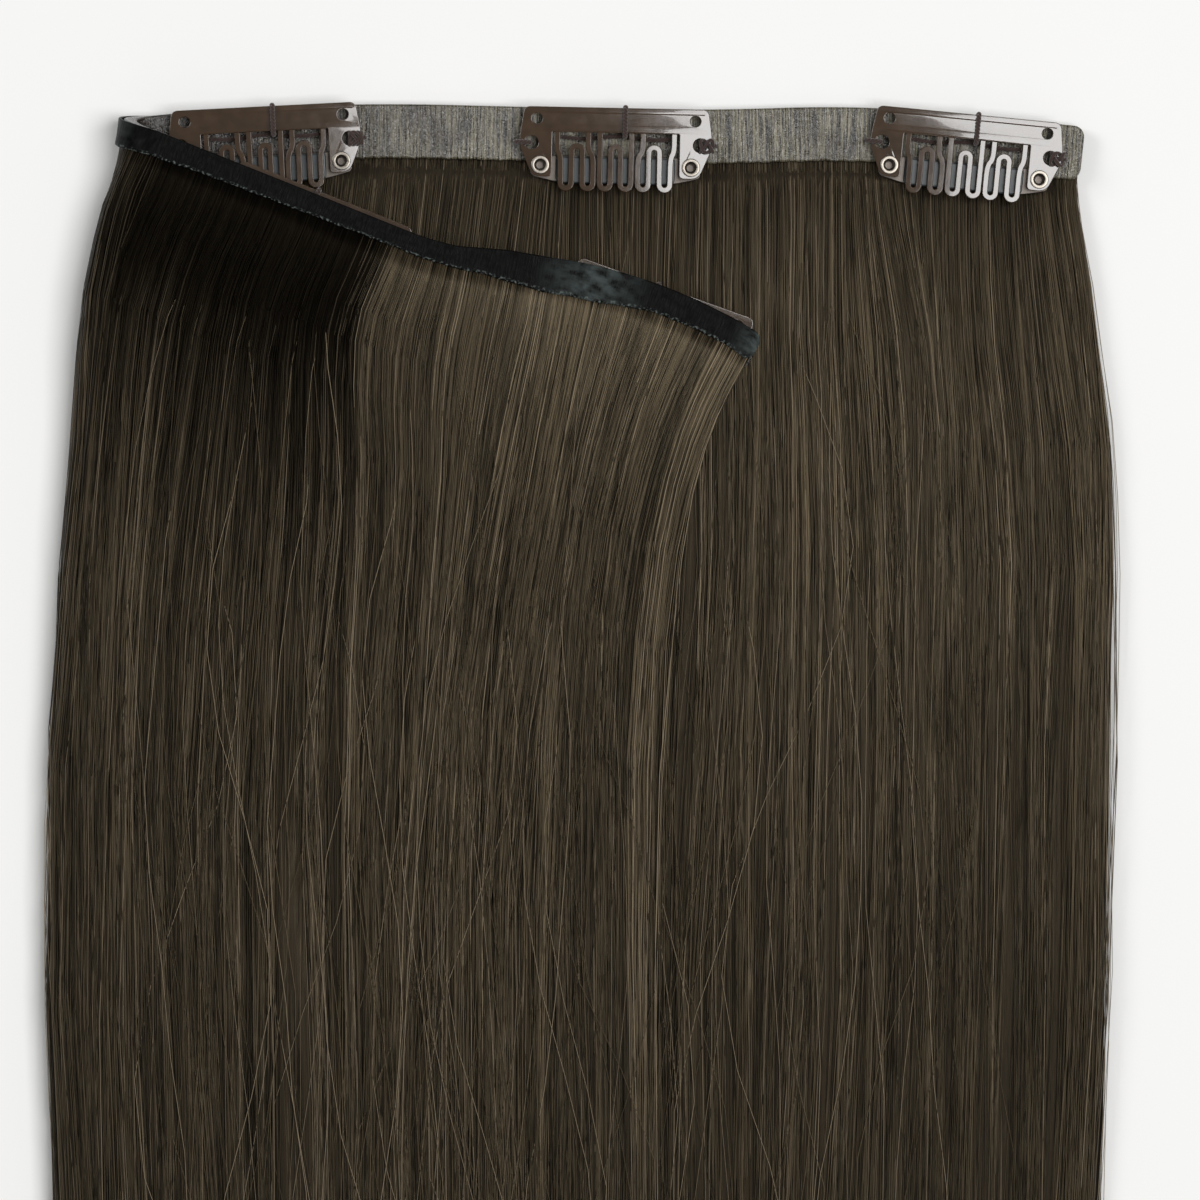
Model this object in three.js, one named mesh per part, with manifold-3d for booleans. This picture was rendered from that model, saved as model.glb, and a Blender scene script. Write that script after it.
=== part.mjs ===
// One-piece clip-in hair extension. Hair is bonded between two skins of soft polyurethane, and five
// snap clips are sewn to the inner skin. It lies flat with its left end folded over the rest.
// Millimetres. +X runs along the strip, +Y towards its top edge and +Z up from what it lies on.
import * as THREE from "three";
import { mergeVertices } from "three/addons/utils/BufferGeometryUtils.js";
import Module from "manifold-3d";

const wasm = await Module();
wasm.setup();

// Clearances
const FIT = 0.3; // between pieces that are bonded, sewn or stacked
const SEAT = 0.15; // under a rivet's flange and under a taut thread
const BOND = 0.4; // between the hair's roots and the skins, round the fold's facets too

// Strip
const BACK_RUN = 154; // right end to the start of the fold, along the top edge
const FLAP_RUN = 107; // end of the fold to the flap's free end
const BAND_WIDTH = 9;
const BASE_WALL = 1;
const COVER_WIDTH = 4.7;
const COVER_WALL = 0.5;
const RIM_WIDTH = 1.1; // the moulded edge that closes the top of the sandwich
const END_ROUND = 1.8; // corners at the strip's two ends
const END_STEP = 0.54; // first section in from an end, part of the way round its corners
const ROOT_DEPTH = 0.8; // hair bonded between base and cover
const HAIR_INSET = 1.25; // bare strip at its two ends
const FOLD_RADIUS = 3.6; // inside the fold, which leaves room for two clips face to face
const FOLD_TILT = THREE.MathUtils.degToRad(8); // of the crease from square
const STRIP_STEP = 14; // between the strip's sections where it lies flat
const FOLD_SECTIONS = 9;
const TOP_EDGE_STEPS = 400; // short straight steps that the swaying top edge is walked in

// How the laid strip sways: degrees that its heading lifts above straight, by share of the run
const BACK_SWAY = [
  { along: 0, lift: 6 },
  { along: 0.15, lift: 5.5 },
  { along: 0.22, lift: 2.5 },
  { along: 0.33, lift: -2 },
  { along: 0.5, lift: 1.2 },
  { along: 0.68, lift: 1.5 },
  { along: 0.85, lift: -2 },
  { along: 1, lift: -5.5 },
];
const FLAP_SWAY = [
  { along: 0, lift: -5.5 },
  { along: 0.42, lift: -6 },
  { along: 0.52, lift: 5.5 },
  { along: 0.68, lift: 6 },
  { along: 0.8, lift: -1 },
  { along: 0.9, lift: -9 },
  { along: 1, lift: -13 },
];

// Hair
const HAIR_LENGTH = 355; // top edge of the strip to the longest tips
const HAIR_DEPTH = 3.4; // of one layer where it is fullest
const HAIR_SPREAD = 12.3; // how far the hair fans out past the strip's left end
const FLAP_DRIFT = 11.5; // how far the flap's hair swings left before it hangs straight
const EASE = 23; // the fall over which hair turns from square to the strip to straight down
const TIP_THIN = 0.2; // width of a lock's tip as a share of its middle
const TIP_DEPTH = 0.4; // depth of a lock's tip as a share of its middle
const THIN_FROM = 0.9; // share of the fall from which a lock narrows
const LOCK_LAP = 1.12; // a lock's breadth beside the room it has, so that neighbours overlap
const BED_MARGIN = 0.4; // the backing stands this far past the locks' roots and outer sides
const ROLL_COLUMNS = 8; // of the backing, round the fold
const FLAT_COLUMNS = 5; // and along each flat run

// The laid hair's edges: shares of the hair's spread, by share of its length
const HAIR_EDGES = [
  { down: 0, left: 0, right: -0.1 },
  { down: 0.034, left: 0.17, right: 0 },
  { down: 0.09, left: 0.5, right: 0.14 },
  { down: 0.15, left: 0.68, right: 0.38 },
  { down: 0.21, left: 0.84, right: 0.5 },
  { down: 0.28, left: 0.94, right: 0.48 },
  { down: 0.35, left: 1, right: 0.46 },
  { down: 0.47, left: 0.88, right: 0.4 },
  { down: 0.6, left: 0.7, right: 0.22 },
  { down: 0.8, left: 0.1, right: -0.3 },
  { down: 1.1, left: -1.2, right: -1.5 },
];

// Sections through the laid hair by share of its fall below the strip: half the space between the two
// layers as a share of the fold's radius, and each layer's depth as a share of the fullest depth
const HAIR_SECTIONS = [
  { fall: 0.006, gap: 1, depth: 0.85 },
  { fall: 0.02, gap: 1, depth: 0.85 },
  { fall: 0.06, gap: 0.8, depth: 0.95 },
  { fall: 0.13, gap: 0.4, depth: 1 },
  { fall: 0.25, gap: 0.08, depth: 1 },
  { fall: 0.45, gap: 0.08, depth: 0.93 },
  { fall: 0.7, gap: 0.08, depth: 0.72 },
  { fall: 1, gap: 0.08, depth: 0.4 },
];
const BACKING_END = 0.93; // share of the fall where the backing stops and the locks' tips go on

// Locks: breadth of each beside its neighbours, and its length as a share of the longest
const BACK_LOCKS = [
  { breadth: 0.8, length: 0.965 },
  { breadth: 1.2, length: 0.99 },
  { breadth: 0.9, length: 0.955 },
  { breadth: 1.3, length: 1 },
  { breadth: 0.8, length: 0.97 },
  { breadth: 1.2, length: 1 },
  { breadth: 1, length: 0.96 },
  { breadth: 0.8, length: 0.985 },
  { breadth: 1.1, length: 0.965 },
];
const FRONT_LOCKS = [
  { breadth: 1, length: 0.98 },
  { breadth: 1.3, length: 1 },
  { breadth: 0.9, length: 0.96 },
  { breadth: 1.2, length: 0.985 },
  { breadth: 0.8, length: 0.965 },
  { breadth: 1.1, length: 1 },
  { breadth: 0.8, length: 0.97 },
];

// Clips, stamped from spring steel sheet
const CLIP_WIDTH = 32; // over the sewing ears
const TOP_WIDTH = 30.6;
const FOOT_WIDTH = 27.6; // over the outer sides of the legs' feet
const SHEET = 0.6;
const SPINE_HEIGHT = 4.2;
const PLATE_HEIGHT = 11.6; // top edge to the legs' feet
const COMB_HEIGHT = 14; // top edge to the tips of the teeth
const COMB_WIDTH = 20.4; // over the outermost strands
const COMB_SLOT = 0.35; // between comb and leg
const CORNER = 1.1;
const EAR = { top: 4.8, low: 6.5 }; // down from the top edge
const STRAND = 0.95; // width of the stamped wire that the teeth are cut as
const WINDOW = 1.8; // spine's lower edge to the top of the bends between teeth
const JOG_TOP = 3; // below the spine, where a strand steps in to its tooth
const JOG_HEIGHT = 1;
const HINGE_GAP = 0.3; // between spine and comb where the comb flexes
const BEND_STEPS = 3;
const CORNER_HOLE = { inset: 2.15, down: 2, radius: 0.9 }; // insets from the plate's widest there
const SEWING_HOLE = { inset: 2, down: 6, radius: 1.15 };
const RIVET = { inset: 1.3, down: 9.7, shank: 1, bore: 0.6, flange: 1.55, lip: 0.3, round: 0.08 };
const HOLE_SIDES = 8;
const BAR_HEIGHT = 4.4;
const BAR_DROP = 8; // top edge of the clip to the top edge of the bar
const BAR_WALL = 0.5;
const LUG_RADIUS = 1.7;
const GRIP_WIDTH = 19.8;
const GRIP_WALL = 0.6;
const GRIP_DROP = 0.2; // the grip's edges below the bar's
const GRIP_CORNER = 0.5;
const THREAD = 0.35; // radius of a doubled sewing thread
const THREAD_SIDES = 4;
const KNOT = { radius: 1.3, flat: 0.6, around: 7, rings: 4 };
const MID_STITCH = 1.5; // from the clip's middle
const CLIP_PITCH = 58.7;
const FIRST_CLIP = 19.4; // right end of the strip to the middle of the last clip
const FIRST_FLAP_CLIP = 30.5; // end of the fold to the middle of the next clip
const FLAP_CLIP_RISE = 0.8; // how far the flap's clips peek out above its edge

// The comb's three groups of strands: roots at the spine and middles of their two teeth, as shares
// of half the comb's width; a tooth's two strands lie at its middle plus and minus the bend
const COMB_GROUPS = [
  { name: "left", rootA: -0.953, toothA: -0.804, toothB: -0.451, rootB: -0.446 },
  { name: "mid", rootA: -0.257, toothA: -0.167, toothB: 0.167, rootB: 0.257 },
  { name: "right", rootA: 0.446, toothA: 0.451, toothB: 0.804, rootB: 0.953 },
];
const BEND = 0.088;

// Radii from the axis of the fold, skin side inwards
const baseIn = FOLD_RADIUS;
const baseOut = baseIn + BASE_WALL;
const hairIn = baseOut + BOND;
const hairOut = hairIn + ROOT_DEPTH;
const coverIn = hairOut + BOND;
const coverOut = coverIn + COVER_WALL;
const rollRadius = (baseIn + baseOut) / 2;
const rollLength = Math.PI * rollRadius;
const stripLength = BACK_RUN + rollLength + FLAP_RUN;
const rootDown = RIM_WIDTH + 2 * BOND;
const leaveDown = BAND_WIDTH + FIT;

const { lerp, clamp } = THREE.MathUtils;

// A table's value between its rows
function fromTable(rows, key, at, column) {
  const next = rows.findIndex((row) => row[key] > at);
  if (next === 0) return rows[0][column];
  if (next < 0) return rows[rows.length - 1][column];
  const a = rows[next - 1];
  const b = rows[next];
  return lerp(a[column], b[column], (at - a[key]) / (b[key] - a[key]));
}

// Closed solids

function signedVolume(geometry) {
  const p = geometry.getAttribute("position");
  const index = geometry.index.array;
  const [a, b, c] = [new THREE.Vector3(), new THREE.Vector3(), new THREE.Vector3()];
  let sum = 0;
  for (let i = 0; i < index.length; i += 3) {
    a.fromBufferAttribute(p, index[i]);
    b.fromBufferAttribute(p, index[i + 1]);
    c.fromBufferAttribute(p, index[i + 2]);
    sum += a.dot(b.cross(c));
  }
  return sum;
}

function closedGeometry(points, triangles) {
  const geometry = new THREE.BufferGeometry().setFromPoints(points);
  geometry.setIndex(triangles);
  if (signedVolume(geometry) < 0) {
    for (let i = 0; i < triangles.length; i += 3) {
      [triangles[i + 1], triangles[i + 2]] = [triangles[i + 2], triangles[i + 1]];
    }
    geometry.setIndex(triangles);
  }
  return geometry;
}

// Rings of points joined one to the next, with flat ends, or closed on themselves
function loft(rings, closed = false) {
  const n = rings[0].length;
  const triangles = [];
  const last = closed ? rings.length : rings.length - 1;
  for (let i = 0; i < last; i++) {
    const k = (i + 1) % rings.length;
    for (let j = 0; j < n; j++) {
      const m = (j + 1) % n;
      triangles.push(i * n + j, k * n + j, k * n + m, i * n + j, k * n + m, i * n + m);
    }
  }
  if (!closed) {
    const top = (rings.length - 1) * n;
    for (let j = 1; j < n - 1; j++) {
      triangles.push(0, j, j + 1, top, top + j + 1, top + j);
    }
  }
  return closedGeometry(rings.flat(), triangles);
}

// A slab between two grids of points
function slab(upper, lower) {
  const rows = upper.length;
  const columns = upper[0].length;
  const under = rows * columns;
  const at = (i, j) => i * columns + j;
  const triangles = [];
  const quad = (a, b, c, d) => triangles.push(a, b, c, a, c, d);
  for (let i = 0; i < rows - 1; i++) {
    for (let j = 0; j < columns - 1; j++) {
      quad(at(i, j), at(i + 1, j), at(i + 1, j + 1), at(i, j + 1));
      quad(under + at(i, j), under + at(i, j + 1), under + at(i + 1, j + 1), under + at(i + 1, j));
    }
    const right = columns - 1;
    quad(at(i, 0), under + at(i, 0), under + at(i + 1, 0), at(i + 1, 0));
    quad(at(i, right), at(i + 1, right), under + at(i + 1, right), under + at(i, right));
  }
  const end = rows - 1;
  for (let j = 0; j < columns - 1; j++) {
    quad(at(0, j), at(0, j + 1), under + at(0, j + 1), under + at(0, j));
    quad(at(end, j), under + at(end, j), under + at(end, j + 1), at(end, j + 1));
  }
  return closedGeometry([...upper.flat(), ...lower.flat()], triangles);
}

function toSolid(geometry) {
  const bare = geometry.clone();
  bare.deleteAttribute("normal");
  bare.deleteAttribute("uv");
  const merged = mergeVertices(bare, 1e-5);
  return new wasm.Manifold(
    new wasm.Mesh({
      numProp: 3,
      vertProperties: new Float32Array(merged.getAttribute("position").array),
      triVerts: new Uint32Array(merged.index.array),
    }),
  );
}

function toGeometry(solid) {
  const mesh = solid.getMesh();
  const geometry = new THREE.BufferGeometry();
  geometry.setAttribute("position", new THREE.BufferAttribute(mesh.vertProperties, 3));
  geometry.setIndex(new THREE.BufferAttribute(mesh.triVerts, 1));
  return geometry;
}

function fuse(geometries) {
  return toGeometry(geometries.map(toSolid).reduce((whole, solid) => whole.add(solid)));
}

function pierce(geometry, cutters) {
  return toGeometry(cutters.map(toSolid).reduce((left, tool) => left.subtract(tool), toSolid(geometry)));
}

// The strip unfolded in its own plane, from its right end leftwards

function liftAt(along) {
  const share = along < BACK_RUN ? along / BACK_RUN : (along - BACK_RUN - rollLength) / FLAP_RUN;
  const rows = along < BACK_RUN ? BACK_SWAY : FLAP_SWAY;
  return THREE.MathUtils.degToRad(fromTable(rows, "along", clamp(share, 0, 1), "lift"));
}

const edgeStep = stripLength / TOP_EDGE_STEPS;
const topEdge = [new THREE.Vector2(0, 0)];
for (let i = 0; i < TOP_EDGE_STEPS; i++) {
  const lift = liftAt((i + 0.5) * edgeStep);
  const ahead = new THREE.Vector2(-Math.cos(lift), Math.sin(lift)).multiplyScalar(edgeStep);
  topEdge.push(topEdge[i].clone().add(ahead));
}

function unfolded(along, down) {
  const at = clamp(along / edgeStep, 0, TOP_EDGE_STEPS);
  const i = Math.min(Math.floor(at), TOP_EDGE_STEPS - 1);
  const point = topEdge[i].clone().lerp(topEdge[i + 1], at - i);
  const lift = liftAt(along);
  return point.add(new THREE.Vector2(-Math.sin(lift), -Math.cos(lift)).multiplyScalar(down));
}

// The fold: beyond its start the plane rolls half round an axis and comes back reversed above itself
const foldStart = unfolded(BACK_RUN, 0);
const outwards = new THREE.Vector2(-Math.cos(FOLD_TILT), Math.sin(FOLD_TILT));
const crease = new THREE.Vector2(-Math.sin(FOLD_TILT), -Math.cos(FOLD_TILT));

function fold(along, down) {
  const offset = unfolded(along, down).sub(foldStart);
  const past = offset.dot(outwards);
  const turn = clamp(past / rollRadius, 0, Math.PI);
  const across = Math.min(past, 0) - Math.max(past - rollLength, 0);
  const axis = foldStart.clone().addScaledVector(outwards, across);
  axis.addScaledVector(crease, offset.dot(crease));
  return { past, turn, axis };
}

function lay(along, down, radius) {
  const { turn, axis } = fold(along, down);
  const plan = axis.clone().addScaledVector(outwards, radius * Math.sin(turn));
  return new THREE.Vector3(plan.x, plan.y, coverOut - radius * Math.cos(turn));
}

// Sections of the strip, closer together at its rounded ends and round the fold
function stripSections() {
  const places = [];
  const ends = [0, END_STEP, END_ROUND];
  const backSteps = Math.round(BACK_RUN / STRIP_STEP);
  const flapSteps = Math.round(FLAP_RUN / STRIP_STEP);
  places.push(...ends);
  for (let i = 1; i <= backSteps; i++) places.push(END_ROUND + ((BACK_RUN - END_ROUND) * i) / backSteps);
  for (let i = 1; i <= FOLD_SECTIONS; i++) places.push(lerp(BACK_RUN, rollEnd, i / FOLD_SECTIONS));
  for (let i = 1; i <= flapSteps; i++) {
    places.push(lerp(rollEnd, stripLength - END_ROUND, i / flapSteps));
  }
  places.push(stripLength - ends[1], stripLength);
  return places;
}

function endInset(along) {
  const left = END_ROUND - Math.min(along, stripLength - along, END_ROUND);
  return END_ROUND - Math.sqrt(Math.max(END_ROUND ** 2 - left ** 2, 0));
}

function weftBase() {
  const rings = stripSections().map((along) => {
    const inset = endInset(along);
    const low = BAND_WIDTH - inset;
    const middle = BAND_WIDTH / 2;
    return [
      lay(along, inset, baseIn),
      lay(along, middle, baseIn),
      lay(along, low, baseIn),
      lay(along, low, baseOut),
      lay(along, middle, baseOut),
      lay(along, inset + RIM_WIDTH, baseOut),
      lay(along, inset + RIM_WIDTH, hairOut),
      lay(along, inset, hairOut),
    ];
  });
  return loft(rings);
}

function weftCover() {
  const rings = stripSections().map((along) => {
    const inset = endInset(along);
    return [
      lay(along, inset, coverIn),
      lay(along, COVER_WIDTH, coverIn),
      lay(along, COVER_WIDTH, coverOut),
      lay(along, inset, coverOut),
    ];
  });
  return loft(rings);
}

// Hair

const rightEnd = unfolded(0, 0);
const flapEnd = fold(stripLength, 0).axis;
const foldLeft = foldStart.x - coverOut;

function layer(fall) {
  const share = fall / HAIR_LENGTH;
  const first = HAIR_SECTIONS[0];
  const gap = FOLD_RADIUS * fromTable(HAIR_SECTIONS, "fall", share, "gap");
  const depth = HAIR_DEPTH * fromTable(HAIR_SECTIONS, "fall", share, "depth");
  const out = clamp(share / first.fall, 0, 1);
  const inner = lerp(hairIn, gap, out);
  const outer = lerp(hairOut, gap + depth, out);
  return { inner, outer, axis: out < 1 ? Math.max(coverOut, outer) : outer };
}

function edgeX(side, y) {
  const spread = HAIR_SPREAD * fromTable(HAIR_EDGES, "down", -y / HAIR_LENGTH, side);
  return side === "left" ? foldLeft - spread : rightEnd.x + spread;
}

function lane(root, y, outer) {
  const left = edgeX("left", y) + outer;
  if (root.turn > 0 && root.turn < Math.PI) return left;
  if (root.turn === 0) return lerp(left + FIT, edgeX("right", y), clamp(-root.past / BACK_RUN, 0, 1));
  const hanging = flapEnd.x - FLAP_DRIFT;
  return lerp(left, hanging, clamp((root.past - rollLength) / FLAP_RUN, 0, 1));
}

// A point of the hair: by its root's place along the strip, its way down from the top edge, and its
// share of the layer's depth from the side that faces the axis of the fold to the other
function hair(along, down, share) {
  if (down <= leaveDown) return lay(along, down, lerp(hairIn, hairOut, share));
  const fall = down - leaveDown;
  const root = fold(along, leaveDown);
  const above = fold(along, leaveDown - 1).axis;
  const { inner, outer, axis } = layer(fall);
  const y = root.axis.y - fall;
  const apart = root.axis.x - lane(root, root.axis.y, outer);
  const lean = (root.axis.x - above.x) / (above.y - root.axis.y);
  const settle = (apart + (lean + apart / EASE) * fall) * Math.exp(-fall / EASE);
  const swing = THREE.MathUtils.smoothstep(fall, 0, EASE);
  const side = outwards.clone().lerp(new THREE.Vector2(-1, 0), swing).normalize();
  const radius = lerp(inner, outer, share);
  const reach = radius * Math.sin(root.turn);
  return new THREE.Vector3(
    lane(root, y, outer) + settle + side.x * reach,
    y + side.y * reach,
    axis - radius * Math.cos(root.turn),
  );
}

// Where along the strip a root has a given distance past the start of the fold, at the base's edge
function alongAt(past) {
  let low = 0;
  let high = stripLength;
  for (let i = 0; i < 30; i++) {
    const middle = (low + high) / 2;
    if (fold(middle, leaveDown).past < past) low = middle;
    else high = middle;
  }
  return (low + high) / 2;
}

// Stations down the hair: its root, the sections that its fall passes, and shares of its fall
function stations(start, ...shares) {
  const last = shares.map((share) => (HAIR_LENGTH - leaveDown) * share);
  const falls = [0, ...HAIR_SECTIONS.map((row) => row.fall * HAIR_LENGTH)];
  const kept = falls.filter((fall) => fall < last[0] - HAIR_DEPTH);
  return [start, ...[...kept, ...last].map((fall) => leaveDown + fall)];
}

// A lock: a crowned ribbon that narrows and thins to its tip; its bed lies inside the backing
function lock(from, to, length, section) {
  const downs = stations(rootDown + BED_MARGIN, THIN_FROM, length);
  const middle = (from + to) / 2;
  const half = (to - from) / 2;
  return loft(
    downs.map((down, i) => {
      const thin = i < downs.length - 1 ? 1 : TIP_THIN;
      return section.map(({ side, share }) => {
        const depth = lerp(section[0].share, share, Math.max(thin, TIP_DEPTH));
        return hair(middle + side * half * thin, down, depth);
      });
    }),
  );
}

const FRONT_SECTION = [
  { side: -1, share: 0.3 },
  { side: 1, share: 0.3 },
  { side: 0.75, share: 0.72 },
  { side: 0, share: 1 },
  { side: -0.75, share: 0.72 },
];
const BACK_SECTION = FRONT_SECTION.map(({ side, share }) => ({ side, share: 1 - share }));
function locks(table, from, to, section) {
  const whole = table.reduce((sum, row) => sum + row.breadth, 0);
  let start = from;
  return table.map(({ breadth, length }) => {
    const room = ((to - from) * breadth) / whole;
    const middle = start + room / 2;
    const half = (room * LOCK_LAP) / 2;
    start += room;
    const low = Math.max(middle - half, from + BED_MARGIN);
    return lock(low, Math.min(middle + half, to - BED_MARGIN), length, section);
  });
}

// The sheet that the locks lie on: its columns run from the root down, each between two depths
function backing(columns) {
  const downs = stations(rootDown, BACKING_END);
  const grid = (side) => downs.map((down) => columns.map((row) => hair(row.along, down, row[side])));
  return slab(grid("near"), grid("far"));
}

function spaced(from, to, count) {
  return Array.from({ length: count + 1 }, (_, i) => lerp(from, to, i / count));
}

const backEnd = alongAt(-FIT);
const rollEnd = alongAt(rollLength);
const hairStart = HAIR_INSET;
const hairEnd = stripLength - HAIR_INSET;

function hairBack() {
  const columns = spaced(hairStart, backEnd, FLAT_COLUMNS).map((along) => ({ along, near: 0.5, far: 1 }));
  return fuse([backing(columns), ...locks(BACK_LOCKS, hairStart, backEnd, BACK_SECTION)]);
}

function hairFront() {
  const rolled = spaced(alongAt(FIT), rollEnd, ROLL_COLUMNS).map((along) => ({ along, near: 0, far: 1 }));
  const flat = spaced(rollEnd, hairEnd, FLAT_COLUMNS).map((along) => ({ along, near: 0, far: 0.5 }));
  const columns = [...rolled, ...flat.slice(1)];
  return fuse([backing(columns), ...locks(FRONT_LOCKS, rollEnd, hairEnd, FRONT_SECTION)]);
}

// Clips: each in its own frame, x along the clip, y = 0 at its top edge, z up from the skin

const barLow = FIT;
const barTop = barLow + BAR_WALL;
const gripLow = barTop + FIT;
const gripTop = gripLow + GRIP_WALL;
const plateLow = gripTop + FIT;
const plateTop = plateLow + SHEET;
const flangeLow = plateTop + SEAT;
const flangeTop = flangeLow + RIVET.lip;

// An outline given from its middle to the right, mirrored to the left
function mirrored(half) {
  return [...half, ...half.map(([x, y, cut]) => [-x, y, cut]).reverse()];
}

// An outline with each corner that has a cut replaced by two points, that far along its two sides
function chamfered(corners) {
  return corners.flatMap(([x, y, cut], i) => {
    if (!cut) return [[x, y]];
    const corner = new THREE.Vector2(x, y);
    return [corners.at(i - 1), corners[(i + 1) % corners.length]].map(([u, v]) =>
      new THREE.Vector2(u, v).sub(corner).setLength(cut).add(corner).toArray(),
    );
  });
}

function extruded(points, low, thick) {
  const shape = new THREE.Shape(points.map(([x, y]) => new THREE.Vector2(x, y)));
  return new THREE.ExtrudeGeometry(shape, { depth: thick, bevelEnabled: false }).translate(0, 0, low);
}

function drill(x, y, radius, low, high) {
  const geometry = new THREE.CylinderGeometry(radius, radius, high - low + 2 * FIT, HOLE_SIDES);
  return geometry.rotateX(Math.PI / 2).translate(x, y, (low + high) / 2);
}

function pair(across, down, radius, low, high) {
  return [-1, 1].map((side) => drill(side * across, -down, radius, low, high));
}

const cornerAcross = TOP_WIDTH / 2 - CORNER_HOLE.inset;
const sewingAcross = CLIP_WIDTH / 2 - SEWING_HOLE.inset;
const rivetAcross = FOOT_WIDTH / 2 - RIVET.inset;

function framePlate() {
  const top = TOP_WIDTH / 2;
  const ear = CLIP_WIDTH / 2;
  const foot = FOOT_WIDTH / 2;
  const inner = COMB_WIDTH / 2 + COMB_SLOT;
  const corners = mirrored([
    [top, 0, CORNER],
    [ear, -EAR.top],
    [ear, -EAR.low],
    [foot, -PLATE_HEIGHT, CORNER],
    [inner, -PLATE_HEIGHT, CORNER / 2],
    [inner, -SPINE_HEIGHT],
  ]);
  const holes = [
    ...pair(cornerAcross, CORNER_HOLE.down, CORNER_HOLE.radius, plateLow, plateTop),
    ...pair(sewingAcross, SEWING_HOLE.down, SEWING_HOLE.radius, plateLow, plateTop),
    ...pair(rivetAcross, RIVET.down, RIVET.shank + SEAT, plateLow, plateTop),
  ];
  return pierce(extruded(chamfered(corners), plateLow, SHEET), holes);
}

// Half a circle of points about a middle, turning from one angle to another
function arc(x, y, radius, from, to) {
  return spaced(from, to, BEND_STEPS).map((a) => [x + radius * Math.cos(a), y + radius * Math.sin(a)]);
}

// The middle line of one group: down its first tooth, over the bend between, down and up the second
function strandLine(group, rootY) {
  const half = COMB_WIDTH / 2;
  const bend = BEND * half;
  const [rootA, toothA, toothB, rootB] = [group.rootA, group.toothA, group.toothB, group.rootB].map(
    (share) => share * half,
  );
  const tip = -COMB_HEIGHT + STRAND / 2 + bend;
  const over = (toothB - toothA) / 2 - bend;
  const crown = -SPINE_HEIGHT - WINDOW - STRAND / 2 - over;
  const jog = -SPINE_HEIGHT - JOG_TOP;
  return [
    [rootA, rootY],
    [rootA, jog],
    [toothA - bend, jog - JOG_HEIGHT],
    ...arc(toothA, tip, bend, Math.PI, 2 * Math.PI),
    ...arc((toothA + toothB) / 2, crown, over, Math.PI, 0),
    ...arc(toothB, tip, bend, Math.PI, 2 * Math.PI),
    [toothB + bend, jog - JOG_HEIGHT],
    [rootB, jog],
    [rootB, rootY],
  ];
}

// A line of points given a width: each point moves square to the line, further at a corner
function widened(line, width) {
  const points = line.map(([x, y]) => new THREE.Vector2(x, y));
  const sides = points.map((point, i) => {
    const before = point.clone().sub(points[Math.max(i - 1, 0)]);
    const after = points[Math.min(i + 1, points.length - 1)].clone().sub(point);
    const a = (before.length() ? before : after).clone().normalize();
    const b = (after.length() ? after : before).clone().normalize();
    const normal = new THREE.Vector2(-(a.y + b.y), a.x + b.x).normalize();
    return normal.multiplyScalar(width / 2 / normal.dot(new THREE.Vector2(-a.y, a.x)));
  });
  const one = points.map((point, i) => point.clone().add(sides[i]));
  const other = points.map((point, i) => point.clone().sub(sides[i]));
  return [...one, ...other.reverse()].map(({ x, y }) => [x, y]);
}

function combGroup(group, rootY) {
  return extruded(widened(strandLine(group, rootY), STRAND), plateLow, SHEET);
}

function barPlate() {
  const end = rivetAcross + LUG_RADIUS;
  const low = -BAR_DROP - BAR_HEIGHT;
  const corners = mirrored([
    [end, -BAR_DROP, LUG_RADIUS],
    [end, -RIVET.down - LUG_RADIUS, LUG_RADIUS / 2],
    [GRIP_WIDTH / 2, low],
  ]);
  const height = plateLow - SEAT - barLow;
  const lugs = [-1, 1].map((side) => {
    const post = new THREE.CylinderGeometry(LUG_RADIUS, LUG_RADIUS, height, HOLE_SIDES);
    return post.rotateX(Math.PI / 2).translate(side * rivetAcross, -RIVET.down, barLow + height / 2);
  });
  const body = fuse([extruded(chamfered(corners), barLow, BAR_WALL), ...lugs]);
  return pierce(body, pair(rivetAcross, RIVET.down, RIVET.shank + SEAT, barLow, plateLow));
}

function gripPad() {
  const half = GRIP_WIDTH / 2;
  const top = -BAR_DROP - GRIP_DROP;
  const corners = mirrored([
    [half, top, GRIP_CORNER],
    [half, top - BAR_HEIGHT, 2 * GRIP_CORNER],
  ]);
  return extruded(chamfered(corners), gripLow, GRIP_WALL);
}

function rivet() {
  const profile = [
    [RIVET.bore, barLow],
    [RIVET.shank, barLow],
    [RIVET.shank, flangeLow],
    [RIVET.flange, flangeLow],
    [RIVET.flange - RIVET.round, flangeTop],
    [RIVET.bore, flangeTop - RIVET.round],
  ];
  const closed = [...profile, profile[0]].map(([r, z]) => new THREE.Vector2(r, z));
  return toGeometry(toSolid(new THREE.LatheGeometry(closed, HOLE_SIDES).rotateX(Math.PI / 2)));
}

// A rectangular loop of thread with mitred corners, in a plane that place() sets
function threadLoop(near, far, low, high, place) {
  const corners = [
    [near, high, -1, 1],
    [far, high, 1, 1],
    [far, low, 1, -1],
    [near, low, -1, -1],
  ];
  const rings = corners.map(([u, v, outU, outV]) =>
    Array.from({ length: THREAD_SIDES }, (_, k) => {
      const angle = (2 * Math.PI * k) / THREAD_SIDES;
      const reach = THREAD * Math.cos(angle);
      return place(u + outU * reach, v + outV * reach, THREAD * Math.sin(angle));
    }),
  );
  return loft(rings, true);
}

const threadLow = FIT + THREAD;
const threadHigh = plateTop + SEAT + THREAD;

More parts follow.
